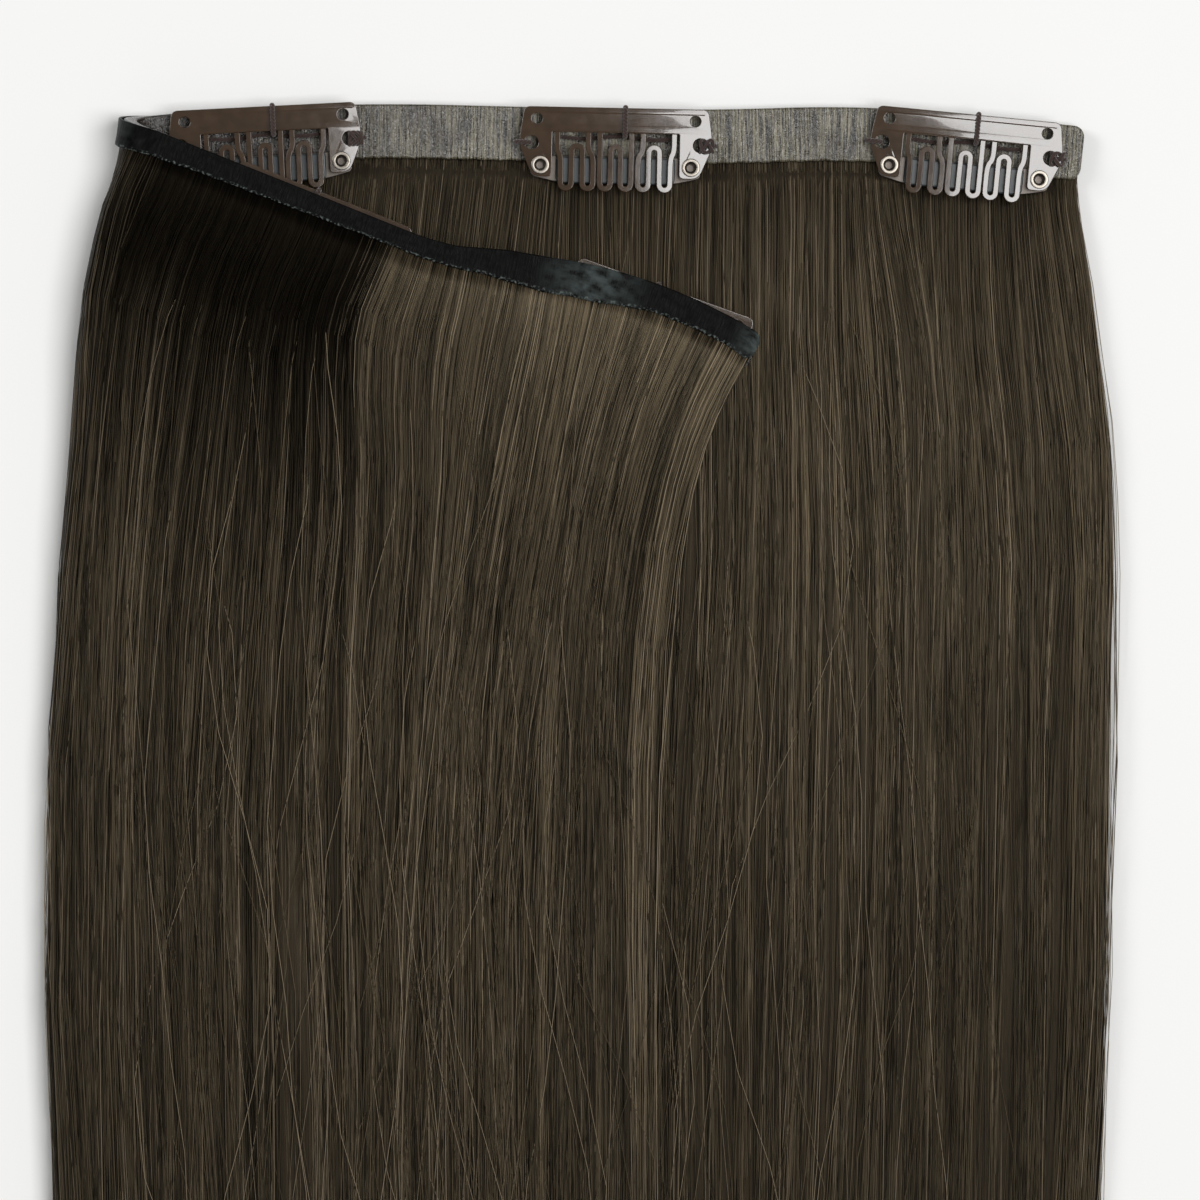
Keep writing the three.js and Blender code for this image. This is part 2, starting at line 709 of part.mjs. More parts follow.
function earStitch(side) {
  const near = sewingAcross + THREAD;
  const far = CLIP_WIDTH / 2 + SEAT + THREAD;
  const place = (u, v, w) => new THREE.Vector3(side * u, w - SEWING_HOLE.down, v);
  const loop = threadLoop(near, far, threadLow, threadHigh, place);
  if (side < 0) return loop;
  const knot = new THREE.SphereGeometry(KNOT.radius, KNOT.around, KNOT.rings);
  knot.scale(1, 1, KNOT.flat / KNOT.radius);
  knot.translate((near + far) / 2, -SEWING_HOLE.down, plateTop + SEAT + KNOT.flat);
  return fuse([loop, knot]);
}

function midStitch() {
  const reach = SEAT + THREAD;
  const place = (u, v, w) => new THREE.Vector3(MID_STITCH + w, -u, v);
  return threadLoop(-reach, SPINE_HEIGHT + reach, threadLow, threadHigh, place);
}

const steel = new THREE.MeshStandardMaterial({ color: 0x4e443e, roughness: 0.28, metalness: 0.3 });
const barSteel = new THREE.MeshStandardMaterial({ color: 0x5a5450, roughness: 0.35, metalness: 0.6 });
const silicone = new THREE.MeshStandardMaterial({ color: 0x465052, roughness: 0.3, metalness: 0 });
const nickel = new THREE.MeshStandardMaterial({ color: 0xb9b4ac, roughness: 0.25, metalness: 1 });
const thread = new THREE.MeshStandardMaterial({ color: 0x3e261c, roughness: 0.9, metalness: 0 });
const skin = new THREE.MeshStandardMaterial({ color: 0x55524b, roughness: 0.45, metalness: 0 });
const cover = new THREE.MeshStandardMaterial({ color: 0x1e2424, roughness: 0.4, metalness: 0 });
const hairFibre = new THREE.MeshStandardMaterial({ color: 0x3c342b, roughness: 0.6, metalness: 0 });

function piece(name, geometry, material) {
  const flat = geometry.index ? geometry.toNonIndexed() : geometry;
  flat.computeVertexNormals();
  const mesh = new THREE.Mesh(flat, material);
  mesh.name = name;
  return mesh;
}

function clip(number, flexing) {
  const group = new THREE.Group();
  const name = (part) => `clip_${number}_${part}`;
  const overlap = STRAND / 2;
  if (flexing) {
    group.add(piece(name("plate"), framePlate(), steel));
    for (const row of COMB_GROUPS) {
      const strands = combGroup(row, -SPINE_HEIGHT - HINGE_GAP);
      group.add(piece(name(`comb_${row.name}`), strands, steel));
    }
  } else {
    const strands = COMB_GROUPS.map((row) => combGroup(row, -SPINE_HEIGHT + overlap));
    group.add(piece(name("plate"), fuse([framePlate(), ...strands]), steel));
  }
  group.add(piece(name("bar"), barPlate(), barSteel));
  group.add(piece(name("grip"), gripPad(), silicone));
  group.add(piece(name("stitch_left"), earStitch(-1), thread));
  group.add(piece(name("stitch_mid"), midStitch(), thread));
  group.add(piece(name("stitch_right"), earStitch(1), thread));
  for (const [side, label] of [
    [-1, "left"],
    [1, "right"],
  ]) {
    const eyelet = piece(name(`rivet_${label}`), rivet(), nickel);
    eyelet.position.set(side * rivetAcross, -RIVET.down, 0);
    group.add(eyelet);
  }
  return group;
}

// A clip on the skin at a place along the strip: its own frame turned to the strip's
function seat(group, along, rise) {
  const skinAt = (a, down, height) => lay(a, down, baseIn - height);
  const origin = skinAt(along, -rise, 0);
  const up = origin.clone().sub(skinAt(along, 1 - rise, 0)).normalize();
  const out = skinAt(along, -rise, 1).sub(origin).normalize();
  const right = up.clone().cross(out);
  group.matrix.makeBasis(right, up, out).setPosition(origin);
  group.matrix.decompose(group.position, group.quaternion, group.scale);
  return group;
}

const flapStart = BACK_RUN + rollLength;
const CLIPS = [
  { number: 1, along: FIRST_CLIP + 2 * CLIP_PITCH, rise: 0, flexing: false },
  { number: 2, along: FIRST_CLIP + CLIP_PITCH, rise: 0, flexing: true },
  { number: 3, along: FIRST_CLIP, rise: 0, flexing: true },
  { number: 4, along: flapStart + FIRST_FLAP_CLIP, rise: FLAP_CLIP_RISE, flexing: false },
  { number: 5, along: flapStart + FIRST_FLAP_CLIP + CLIP_PITCH, rise: FLAP_CLIP_RISE, flexing: false },
];

const weft = new THREE.Group();
weft.add(piece("weft_base", weftBase(), skin));
weft.add(piece("weft_cover", weftCover(), cover));
weft.add(piece("hair_back", hairBack(), hairFibre));
weft.add(piece("hair_front", hairFront(), hairFibre));
for (const { number, along, rise, flexing } of CLIPS) {
  weft.add(seat(clip(number, flexing), along, rise));
}

// The origin is under the middle of the whole piece, on the surface that it lies on
const box = new THREE.Box3().setFromObject(weft);
const middle = box.getCenter(new THREE.Vector3());
weft.position.set(-middle.x, -middle.y, -box.min.z);

const extension = new THREE.Group();
extension.add(weft);

export default extension;
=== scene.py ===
import bpy
import numpy as np
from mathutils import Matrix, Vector
from mathutils.geometry import tessellate_polygon


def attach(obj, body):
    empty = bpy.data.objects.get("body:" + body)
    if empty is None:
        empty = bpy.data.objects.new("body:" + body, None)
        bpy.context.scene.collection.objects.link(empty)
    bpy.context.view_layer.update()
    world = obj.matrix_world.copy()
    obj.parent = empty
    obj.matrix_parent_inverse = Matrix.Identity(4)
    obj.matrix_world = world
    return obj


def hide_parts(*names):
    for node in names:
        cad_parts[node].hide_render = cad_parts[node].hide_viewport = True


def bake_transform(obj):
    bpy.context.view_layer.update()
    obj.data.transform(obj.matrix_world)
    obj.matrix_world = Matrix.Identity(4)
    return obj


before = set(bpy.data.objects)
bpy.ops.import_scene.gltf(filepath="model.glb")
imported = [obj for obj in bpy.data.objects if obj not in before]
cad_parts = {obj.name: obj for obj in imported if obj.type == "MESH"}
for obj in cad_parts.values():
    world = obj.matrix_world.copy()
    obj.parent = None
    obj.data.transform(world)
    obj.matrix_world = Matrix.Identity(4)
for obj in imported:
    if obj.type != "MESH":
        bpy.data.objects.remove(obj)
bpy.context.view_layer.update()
MM = 0.001

# Camera and studio. A long lens looks straight down on the strip and the upper half of the hair.
# A wide softbox to the right gives the enamel its white half, and a pale room fills the rest.
VIEW_MIDDLE = Vector((3.7 * MM, 110.1 * MM, 0))
VIEW_WIDTH = 200 * MM
CAMERA_HEIGHT = 1.5
SENSOR = 36
FLOOR_SIZE = 6
SOFTBOXES = [
    # name, width, place, power in watts
    ("softbox_right", 0.86, (0.51, 0.15, 1.45), 17.5),
    ("softbox_left", 0.6, (-0.95, 0.6, 1.0), 6),
]


def linear(hex_colour):
    """sRGB hex to linear RGBA: a channel c becomes ((c + 0.055) / 1.055) ** 2.4."""
    channels = np.array([int(hex_colour[i : i + 2], 16) for i in (0, 2, 4)]) / 255
    return (*(((channels + 0.055) / 1.055) ** 2.4), 1)


def add(tree, kind, inputs=None, **settings):
    """Adds a node: settings go on the node, and values or links go to its inputs by name or number."""
    made = tree.nodes.new(kind)
    for name, value in settings.items():
        setattr(made, name, value)
    for name, value in (inputs or {}).items():
        if isinstance(value, bpy.types.NodeSocket):
            tree.links.new(value, made.inputs[name])
        else:
            made.inputs[name].default_value = value
    return made


def new_finish(name, colour, values):
    """A material, its node tree and its shader, which holds a base colour and constant values."""
    material = bpy.data.materials.new(name)
    material.use_nodes = True
    shader = material.node_tree.nodes["Principled BSDF"]
    shader.inputs["Base Color"].default_value = linear(colour)
    for socket, value in values.items():
        shader.inputs[socket].default_value = value
    return material, material.node_tree, shader


def new_piece(name, points, faces, finish, laid=None):
    """A mesh from an array of points and arrays of faces, turned to face outwards by its signed
    volume, the sum of a . (b x c) / 6 over its triangles. laid holds a flat place for each point."""
    points = points.reshape(-1, 3)
    fans = [np.stack([f[:, 0], f[:, i], f[:, i + 1]], 1) for f in faces for i in range(1, f.shape[1] - 1)]
    a, b, c = points[np.concatenate(fans)].transpose(1, 0, 2)
    if np.einsum("ij,ij->", a, np.cross(b, c)) < 0:
        faces = [f[:, ::-1] for f in faces]
    counts = np.concatenate([np.full(len(f), f.shape[1]) for f in faces])
    corners = np.concatenate([f.ravel() for f in faces]).astype(np.int32)
    mesh = bpy.data.meshes.new(name)
    mesh.vertices.add(len(points))
    mesh.vertices.foreach_set("co", points.astype(np.float32).ravel())
    mesh.loops.add(len(corners))
    mesh.loops.foreach_set("vertex_index", corners)
    mesh.polygons.add(len(counts))
    mesh.polygons.foreach_set("loop_start", (np.cumsum(counts) - counts).astype(np.int32))
    mesh.polygons.foreach_set("use_smooth", np.ones(len(counts), bool))
    if laid is not None:
        places = laid.reshape(-1, 2)[corners].astype(np.float32)
        mesh.uv_layers.new(name="laid").uv.foreach_set("vector", places.ravel())
    mesh.update(calc_edges=True)
    mesh.materials.append(finish)
    piece = bpy.data.objects.new(name, mesh)
    bpy.context.scene.collection.objects.link(piece)
    return piece


camera_data = bpy.data.cameras.new("camera")
camera_data.sensor_width = SENSOR
camera_data.lens = SENSOR * CAMERA_HEIGHT / VIEW_WIDTH
camera = bpy.data.objects.new("camera", camera_data)
camera.location = VIEW_MIDDLE + Vector((0, 0, CAMERA_HEIGHT))
bpy.context.scene.collection.objects.link(camera)
bpy.context.scene.camera = camera

for name, width, place, watts in SOFTBOXES:
    light = bpy.data.lights.new(name, "AREA")
    light.size = width
    light.energy = watts
    lamp = bpy.data.objects.new(name, light)
    lamp.location = place
    lamp.rotation_euler = (VIEW_MIDDLE - lamp.location).to_track_quat("-Z", "Y").to_euler()
    bpy.context.scene.collection.objects.link(lamp)

room = bpy.data.worlds.new("room")
room.use_nodes = True
room.node_tree.nodes["Background"].inputs["Color"].default_value = linear("F5F4F1")
room.node_tree.nodes["Background"].inputs["Strength"].default_value = 0.232
bpy.context.scene.world = room
bpy.context.scene.view_settings.view_transform = "Standard"

# Matt white card: diffuse, no gloss
card, _, _ = new_finish("matt_white_card", "F3F3F2", {"Roughness": 0.95, "Specular IOR Level": 0.1})
reach = FLOOR_SIZE / 2
corners = np.array([(-reach, -reach, 0), (reach, -reach, 0), (reach, reach, 0), (-reach, reach, 0)])
floor_mesh = bpy.data.meshes.new("floor")
floor_mesh.from_pydata(corners - (0, 0, 0.05 * MM), [], [(0, 1, 2, 3)])
floor_mesh.materials.append(card)
floor = bpy.data.objects.new("floor", floor_mesh)
bpy.context.scene.collection.objects.link(floor)

# Strip base. The real one is a 9 mm band of soft cast polyurethane, with the hair pressed into it
# before it sets, so fine streaks run across it and its skin side is slightly pebbled and glossy.
RIGHT_CORNER = np.array((84.407, 188.83, 0)) * MM  # top corner of the strip's right end
BACK_RUN, FLAP_RUN = 154 * MM, 107 * MM
BAND_WIDTH, BASE_WALL = 9 * MM, 1 * MM
COVER_WALL = 0.5 * MM
BOND = 0.4 * MM
ROOT_DEPTH = 0.8 * MM
RIM_WIDTH = 1.1 * MM
END_ROUND = 1.8 * MM
FOLD_RADIUS = 3.6 * MM
FOLD_TILT = np.radians(8)
EDGE_STEPS = 400
BACK_SWAY = np.array([
    # share of the run, degrees above straight
    (0, 6), (0.15, 5.5), (0.22, 2.5), (0.33, -2), (0.5, 1.2), (0.68, 1.5), (0.85, -2), (1, -5.5),
]).T
FLAP_SWAY = np.array([(0, -5.5), (0.42, -6), (0.52, 5.5), (0.68, 6), (0.8, -1), (0.9, -9), (1, -13)]).T

BASE_OUT = FOLD_RADIUS + BASE_WALL
HAIR_IN = BASE_OUT + BOND
HAIR_OUT = HAIR_IN + ROOT_DEPTH
COVER_IN = HAIR_OUT + BOND
COVER_OUT = COVER_IN + COVER_WALL
ROLL_RADIUS = (FOLD_RADIUS + BASE_OUT) / 2
ROLL_LENGTH = np.pi * ROLL_RADIUS
STRIP_LENGTH = BACK_RUN + ROLL_LENGTH + FLAP_RUN
OUTWARDS = np.array((-np.cos(FOLD_TILT), np.sin(FOLD_TILT)))
CREASE = np.array((-np.sin(FOLD_TILT), -np.cos(FOLD_TILT)))

FLAP_CORNER = 5 * MM  # the base's lower corner at the flap's end is trimmed rounder
BULGE = 0.9 * MM
TOP_BULGE = np.array([(0.5, 0), (0.58, 1), (0.72, 1.15), (0.82, 0.8), (0.96, 0.5), (1, 0.2)]).T
BASE_WIDTHS = np.array([(0, 1), (1, 1)]).T  # the base keeps its width
BAND_HOLD = 0.1 * MM  # the long sides stay flat to within this of their ends
STRIP_SECTION_STEP = 0.9 * MM
WAVE = 0.05 * MM  # the soft strip is never quite flat
SKIN_STREAK = (0.28 * MM, 9 * MM)  # drawn as coarse as it needs to show: breadth and length
SKIN_PEBBLE = 0.7 * MM
SKIN_CLOUD = 13 * MM
FOLD_SHADE_SPAN = (BACK_RUN - 62 * MM, BACK_RUN - 6 * MM)  # painted shade: the skin darkens into the fold


def lift_at(along):
    """How far the strip's heading lifts above straight, from the sway table of its run, in radians."""
    back = np.interp(along / BACK_RUN, *BACK_SWAY)
    flap = np.interp((along - BACK_RUN - ROLL_LENGTH) / FLAP_RUN, *FLAP_SWAY)
    return np.radians(np.where(along < BACK_RUN, back, flap))


edge_places = np.linspace(0, STRIP_LENGTH, EDGE_STEPS + 1)
edge_lift = lift_at((edge_places[1:] + edge_places[:-1]) / 2)
edge_walk = np.stack([-np.cos(edge_lift), np.sin(edge_lift)], 1) * STRIP_LENGTH / EDGE_STEPS
top_edge = np.vstack([np.zeros(2), np.cumsum(edge_walk, axis=0)])


def unfolded(along, down):
    """The unfolded strip: the swaying top edge's point, moved down square to its heading there."""
    lift = lift_at(along)
    x = np.interp(along, edge_places, top_edge[:, 0]) - np.sin(lift) * down
    y = np.interp(along, edge_places, top_edge[:, 1]) - np.cos(lift) * down
    return np.stack([x, y], -1)


FOLD_START = unfolded(np.array(BACK_RUN), 0)


def fold(along, down):
    """Distance past the fold's start, angle rolled through, and the place in plan of the roll's axis:
    the plane rolls half round an axis and comes back reversed above itself."""
    offset = unfolded(along, down) - FOLD_START
    past = offset @ OUTWARDS
    across = np.minimum(past, 0) - np.maximum(past - ROLL_LENGTH, 0)
    axis = FOLD_START + across[..., None] * OUTWARDS + (offset @ CREASE)[..., None] * CREASE
    return past, np.clip(past / ROLL_RADIUS, 0, np.pi), axis


def lay(along, down, radius):
    """A point of the laid strip: the axis moved outwards by radius * sin(turn), at a height of the
    cover's radius less radius * cos(turn)."""
    along, down, radius = np.broadcast_arrays(along, down, radius)
    _, turn, axis = fold(along, down)
    plan = axis + (radius * np.sin(turn))[..., None] * OUTWARDS
    return np.concatenate([plan, (COVER_OUT - radius * np.cos(turn))[..., None]], -1) + RIGHT_CORNER


def rounded(corners, steps=5):
    """A closed outline through corners (x, y, cut): each becomes the curve (1-t)^2 a + 2t(1-t) corner
    + t^2 b, where a and b lie that far from it along its two sides."""
    table = np.array(corners, float)
    spot, cut = table[:, :2], table[:, 2:]
    back, on = np.roll(spot, 1, axis=0) - spot, np.roll(spot, -1, axis=0) - spot
    a = (spot + cut * back / np.linalg.norm(back, axis=1, keepdims=True))[:, None]
    b = (spot + cut * on / np.linalg.norm(on, axis=1, keepdims=True))[:, None]
    t = np.linspace(0, 1, steps)[None, :, None]
    return ((1 - t) ** 2 * a + 2 * t * (1 - t) * spot[:, None] + t**2 * b).reshape(-1, 2)


def grid_faces(rows, columns, close_rows=False):
    """Quads between the neighbours of a grid whose columns close on themselves, its rows too if asked."""
    i = np.arange(rows if close_rows else rows - 1)[:, None]
    j = np.arange(columns)[None, :]
    k, m = (i + 1) % rows, (j + 1) % columns
    return np.stack([i * columns + j, k * columns + j, k * columns + m, i * columns + m], -1).reshape(-1, 4)


def end_caps(rows, columns):
    """Two many-sided faces that close the first and the last row of a grid."""
    first = np.arange(columns)[None, ::-1]
    return [first, first[:, ::-1] + (rows - 1) * columns]


def end_inset(along, radius):
    """How far a rounded corner cuts in at a place along the strip: a quarter circle at each end."""
    left = radius - np.clip(np.minimum(along, STRIP_LENGTH - along), 0, radius)
    return radius - np.sqrt(radius**2 - left**2)


def ripple(along, seed, lengths, depth):
    """A smooth uneven line: sines of these wavelengths with seeded phases, summed and scaled."""
    phases = np.random.default_rng(seed).uniform(0, 2 * np.pi, len(lengths))
    waves = [np.sin(2 * np.pi * along / length + phase) for length, phase in zip(lengths, phases)]
    return depth * np.sum(waves, axis=0) / len(lengths)


def held(outline, edge):
    """An outline with a point added that far inside both ends of each long side, so that smooth shading
    leaves the side flat."""
    step = np.roll(outline, -1, axis=0) - outline
    length = np.linalg.norm(step, axis=1, keepdims=True)
    near = np.minimum(edge / length, 0.4)
    keep = np.repeat(length > 4 * edge, 3, axis=1)
    keep[:, 0] = True
    return np.stack([outline, outline + near * step, outline + (1 - near) * step], 1)[keep]


def strip_band(name, corners, width_shares, low_corner, unevenness, finish):
    """A rounded section (way down, radius) carried along the strip. Its width follows a table of shares
    along the flap, draws in at the rounded ends and ripples; its top edge bulges by the other table."""
    flat = np.arange(END_ROUND, STRIP_LENGTH - END_ROUND, STRIP_SECTION_STEP)
    end = END_ROUND * (1 - np.cos(np.linspace(0, np.pi / 2, 7)))[:-1]
    along = np.concatenate([end, flat, STRIP_LENGTH - end[::-1]])[:, None]
    section = held(rounded(corners, 4), BAND_HOLD)
    down, radius = section[None, :, 0], section[None, :, 1]
    width = section[:, 0].max()
    inset = end_inset(along, END_ROUND)
    flap_share = (along - BACK_RUN - ROLL_LENGTH) / FLAP_RUN
    full = width * np.interp(flap_share, *width_shares)
    low_inset = np.where(flap_share > 0, end_inset(along, low_corner), inset)
    share = down / width
    top = inset - BULGE * np.interp(flap_share, *TOP_BULGE)
    places = np.stack(np.broadcast_arrays(along, down), -1)
    down = top + share * (full - low_inset - top)
    low = share**6
    down = down + low * ripple(along, 5, (7.3 * MM, 2.9 * MM, 1.3 * MM), unevenness)
    radius = radius + ripple(along + 0.3 * down, 8, (23 * MM, 11 * MM, 4.7 * MM), WAVE) - WAVE
    points = lay(along, down, radius)
    faces = [grid_faces(*points.shape[:2]), *end_caps(*points.shape[:2])]
    return new_piece(name, points, faces, finish, places)


# Cast polyurethane film over hair: satin with a pebbled gloss, grey brown where the hair shows through
skin, tree, shader = new_finish("cast_polyurethane_film", "55524B", {"IOR": 1.5, "Coat Weight": 0.45})
laid = add(tree, "ShaderNodeUVMap", uv_map="laid").outputs["UV"]
place = add(tree, "ShaderNodeMapping", {"Vector": laid, "Scale": (1 / SKIN_STREAK[0], 1 / SKIN_STREAK[1], 1)})
grain = {"Vector": place.outputs[0], "Scale": 1, "Detail": 3, "Roughness": 0.6}
streak = add(tree, "ShaderNodeTexNoise", grain)
place = add(tree, "ShaderNodeMapping", {"Vector": laid, "Scale": (1 / SKIN_PEBBLE, 1 / SKIN_PEBBLE, 1)})
pebble = add(tree, "ShaderNodeTexNoise", {"Vector": place.outputs[0], "Scale": 1, "Detail": 2})
place = add(tree, "ShaderNodeMapping", {"Vector": laid, "Scale": (1 / SKIN_CLOUD, 1 / SKIN_CLOUD, 1)})
cloud = add(tree, "ShaderNodeTexNoise", {"Vector": place.outputs[0], "Scale": 1, "Detail": 2})
stretched = add(tree, "ShaderNodeMapRange", {"Value": streak.outputs[0], "From Min": 0.42, "From Max": 0.58})
colours = {0: stretched.outputs[0], 6: linear("0C0906"), 7: linear("7B7562")}
tone = add(tree, "ShaderNodeMix", colours, data_type="RGBA")
run = add(tree, "ShaderNodeSeparateXYZ", {0: laid})
# Painted shade: the skin turns dark brown into the fold, together with its random browner patches
reach = {"Value": run.outputs[0], "From Min": FOLD_SHADE_SPAN[0], "From Max": FOLD_SHADE_SPAN[1]}
inside = add(tree, "ShaderNodeMapRange", reach)
patches = {"Value": cloud.outputs[0], "From Min": 0.48, "From Max": 0.66, "To Max": 0.72}
patches_and_fold_shade = add(tree, "ShaderNodeMapRange", patches)
patches_and_fold_shade = add(tree, "ShaderNodeMath", {0: patches_and_fold_shade.outputs[0], 1: inside.outputs[0]}, operation="MAXIMUM")
colours = {0: patches_and_fold_shade.outputs[0], 6: tone.outputs[2], 7: linear("231B13")}
tone = add(tree, "ShaderNodeMix", colours, data_type="RGBA")
dulled = {"Value": pebble.outputs[0], "From Min": 0.35, "From Max": 0.7, "To Min": 0.09, "To Max": 0.5}
cloudy = add(tree, "ShaderNodeMapRange", dulled)
height = add(tree, "ShaderNodeMath", {0: streak.outputs[0], 1: pebble.outputs[0]}, operation="ADD")
bump = add(tree, "ShaderNodeBump", {"Height": height.outputs[0], "Distance": 0.24 * MM, "Strength": 1})
tree.links.new(tone.outputs[2], shader.inputs["Base Color"])
tree.links.new(cloudy.outputs[0], shader.inputs["Roughness"])
tree.links.new(cloudy.outputs[0], shader.inputs["Coat Roughness"])
tree.links.new(bump.outputs[0], shader.inputs["Normal"])
tree.links.new(bump.outputs[0], shader.inputs["Coat Normal"])

base_corners = [
    (0, FOLD_RADIUS, 0.35 * MM),
    (BAND_WIDTH / 2, FOLD_RADIUS, 0.5 * MM),
    (BAND_WIDTH, FOLD_RADIUS, 0.35 * MM),
    (BAND_WIDTH, BASE_OUT, 0.35 * MM),
    (BAND_WIDTH / 2, BASE_OUT, 0.5 * MM),
    (RIM_WIDTH, BASE_OUT, 0.1 * MM),
    (RIM_WIDTH, HAIR_OUT, 0.2 * MM),
    (0, HAIR_OUT, 0.35 * MM),
]
weft_base = strip_band("strip_base", base_corners, BASE_WIDTHS, FLAP_CORNER, 0.12 * MM, skin)
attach(weft_base, "weft")
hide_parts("weft_base")

# Strip cover. The real one is a narrower dark film, pressed over the hair's roots so that they lie
# between it and the base. Painted blue-grey sheen lies on it where it bends, on the flap and at its end.
COVER_WIDTH = 4.7 * MM
COVER_WIDTHS = np.array([
    # share of the flap, share of the width
    (-0.12, 1), (0.1, 0.82), (0.42, 0.7), (0.55, 0.8), (0.64, 1.04), (0.74, 1.04), (0.82, 0.84),
    (0.95, 0.84), (1, 1),
]).T
COVER_STREAK = (0.35 * MM, 2.2 * MM)
SHEEN_PATCH = (2.5 * MM, 1.2 * MM)
GLINT_SIZE = 0.5 * MM  # painted glints along the lower edge

# Calendered polyurethane film: dark slate, low gloss, with paler stress marks across it and patches of
# painted sheen
film, tree, shader = new_finish("calendered_dark_film", "1E2424", {"IOR": 1.45, "Specular IOR Level": 0.05})
laid = add(tree, "ShaderNodeUVMap", uv_map="laid").outputs["UV"]
fine = (1 / COVER_STREAK[0], 1 / COVER_STREAK[1], 1)
place = add(tree, "ShaderNodeMapping", {"Vector": laid, "Scale": fine})
grain = {"Vector": place.outputs[0], "Scale": 1, "Detail": 4, "Roughness": 0.65}
streak = add(tree, "ShaderNodeTexNoise", grain)
place = add(tree, "ShaderNodeMapping", {"Vector": laid, "Scale": (1 / SHEEN_PATCH[0], 1 / SHEEN_PATCH[1], 1)})
blotch = add(tree, "ShaderNodeTexNoise", {"Vector": place.outputs[0], "Scale": 1, "Detail": 3})
run = add(tree, "ShaderNodeSeparateXYZ", {0: laid})
# Painted sheen: blue-grey patches where the film bends, on the flap and at its end
painted_sheen = 0
for middle, reach in (
    (BACK_RUN + ROLL_LENGTH / 2, 5 * MM),
    (BACK_RUN + ROLL_LENGTH + 0.72 * FLAP_RUN, 10 * MM),
    (STRIP_LENGTH, 5 * MM),
):
    apart = add(tree, "ShaderNodeMath", {0: run.outputs[0], 1: middle}, operation="SUBTRACT")
    apart = add(tree, "ShaderNodeMath", {0: apart.outputs[0]}, operation="ABSOLUTE")
    fading = {"Value": apart.outputs[0], "From Min": 0, "From Max": reach, "To Min": 1, "To Max": 0}
    near = add(tree, "ShaderNodeMapRange", fading)
    painted_sheen = add(tree, "ShaderNodeMath", {0: near.outputs[0], 1: painted_sheen}, operation="MAXIMUM").outputs[0]
patchy = add(tree, "ShaderNodeMapRange", {"Value": blotch.outputs[0], "From Min": 0.35, "From Max": 0.65})
painted_sheen = add(tree, "ShaderNodeMath", {0: painted_sheen, 1: patchy.outputs[0]}, operation="MULTIPLY")
fine = add(tree, "ShaderNodeMapRange", {"Value": streak.outputs[0], "From Min": 0.45, "From Max": 0.8})
colours = {0: fine.outputs[0], 6: linear("020202"), 7: linear("141614")}
dark = add(tree, "ShaderNodeMix", colours, data_type="RGBA")
colours = {0: painted_sheen.outputs[0], 6: dark.outputs[2], 7: linear("424A49")}
tone = add(tree, "ShaderNodeMix", colours, data_type="RGBA")
# Painted highlight: pale glints along the cover's lower edge
place = add(tree, "ShaderNodeMapping", {"Vector": laid, "Scale": (1 / GLINT_SIZE, 1 / GLINT_SIZE, 1)})
painted_glint = add(tree, "ShaderNodeTexNoise", {"Vector": place.outputs[0], "Scale": 1, "Detail": 2})
painted_glint = add(tree, "ShaderNodeMapRange", {"Value": painted_glint.outputs[0], "From Min": 0.5, "From Max": 0.68})
low_edge = {"Value": run.outputs[1], "From Min": 0.86 * COVER_WIDTH, "From Max": 0.93 * COVER_WIDTH}
rim = add(tree, "ShaderNodeMapRange", low_edge)
painted_glint = add(tree, "ShaderNodeMath", {0: painted_glint.outputs[0], 1: rim.outputs[0]}, operation="MULTIPLY")
colours = {0: painted_glint.outputs[0], 6: tone.outputs[2], 7: linear("59615E")}
tone = add(tree, "ShaderNodeMix", colours, data_type="RGBA")
dulled = {"Value": blotch.outputs[0], "From Min": 0.3, "From Max": 0.7, "To Min": 0.3, "To Max": 0.55}
gloss = add(tree, "ShaderNodeMapRange", dulled)
bump = add(tree, "ShaderNodeBump", {"Height": streak.outputs[0], "Distance": 0.1 * MM, "Strength": 0.8})
tree.links.new(tone.outputs[2], shader.inputs["Base Color"])
tree.links.new(gloss.outputs[0], shader.inputs["Roughness"])
tree.links.new(bump.outputs[0], shader.inputs["Normal"])

cover_corners = [
    (0, COVER_IN, 0.2 * MM),
    (COVER_WIDTH, COVER_IN, 0.2 * MM),
    (COVER_WIDTH, COVER_OUT, 0.2 * MM),
    (0, COVER_OUT, 0.2 * MM),
]
weft_cover = strip_band("strip_cover", cover_corners, COVER_WIDTHS, END_ROUND, 0.14 * MM, film)
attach(weft_cover, "weft")
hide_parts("weft_cover")

# Mass of the hair. Real hair lies in flat overlapping locks; under the loose strands its bulk is two
# layers, one for the back run and one for the fold and the flap, bonded into the strip at the roots.
HAIR_LENGTH, HAIR_DEPTH = 355 * MM, 3.4 * MM
HAIR_SPREAD = 12.3 * MM
FLAP_DRIFT = 11.5 * MM
EASE = 23 * MM
FIT = 0.3 * MM
HAIR_INSET = 0.45 * MM  # bare strip at its two ends
LEAVE_DOWN = BAND_WIDTH + FIT
ROOT_DOWN = RIM_WIDTH + 2 * BOND
HAIR_EDGES = np.array([
    # down, left, right
    (0, 0, -0.1), (0.034, 0.17, 0), (0.09, 0.5, 0.14), (0.15, 0.68, 0.38), (0.21, 0.84, 0.5),
    (0.28, 0.94, 0.48), (0.35, 1, 0.46), (0.47, 0.88, 0.4), (0.6, 0.7, 0.22), (0.8, 0.1, -0.3),
    (1.1, -1.2, -1.5),
]).T
HAIR_SECTIONS = np.array([
    # fall, gap, depth
    (0.006, 1, 0.85), (0.02, 1, 0.85), (0.06, 0.8, 0.95), (0.13, 0.4, 1), (0.25, 0.08, 1), (0.45, 0.08, 0.93),
    (0.7, 0.08, 0.72), (1, 0.08, 0.4),
]).T
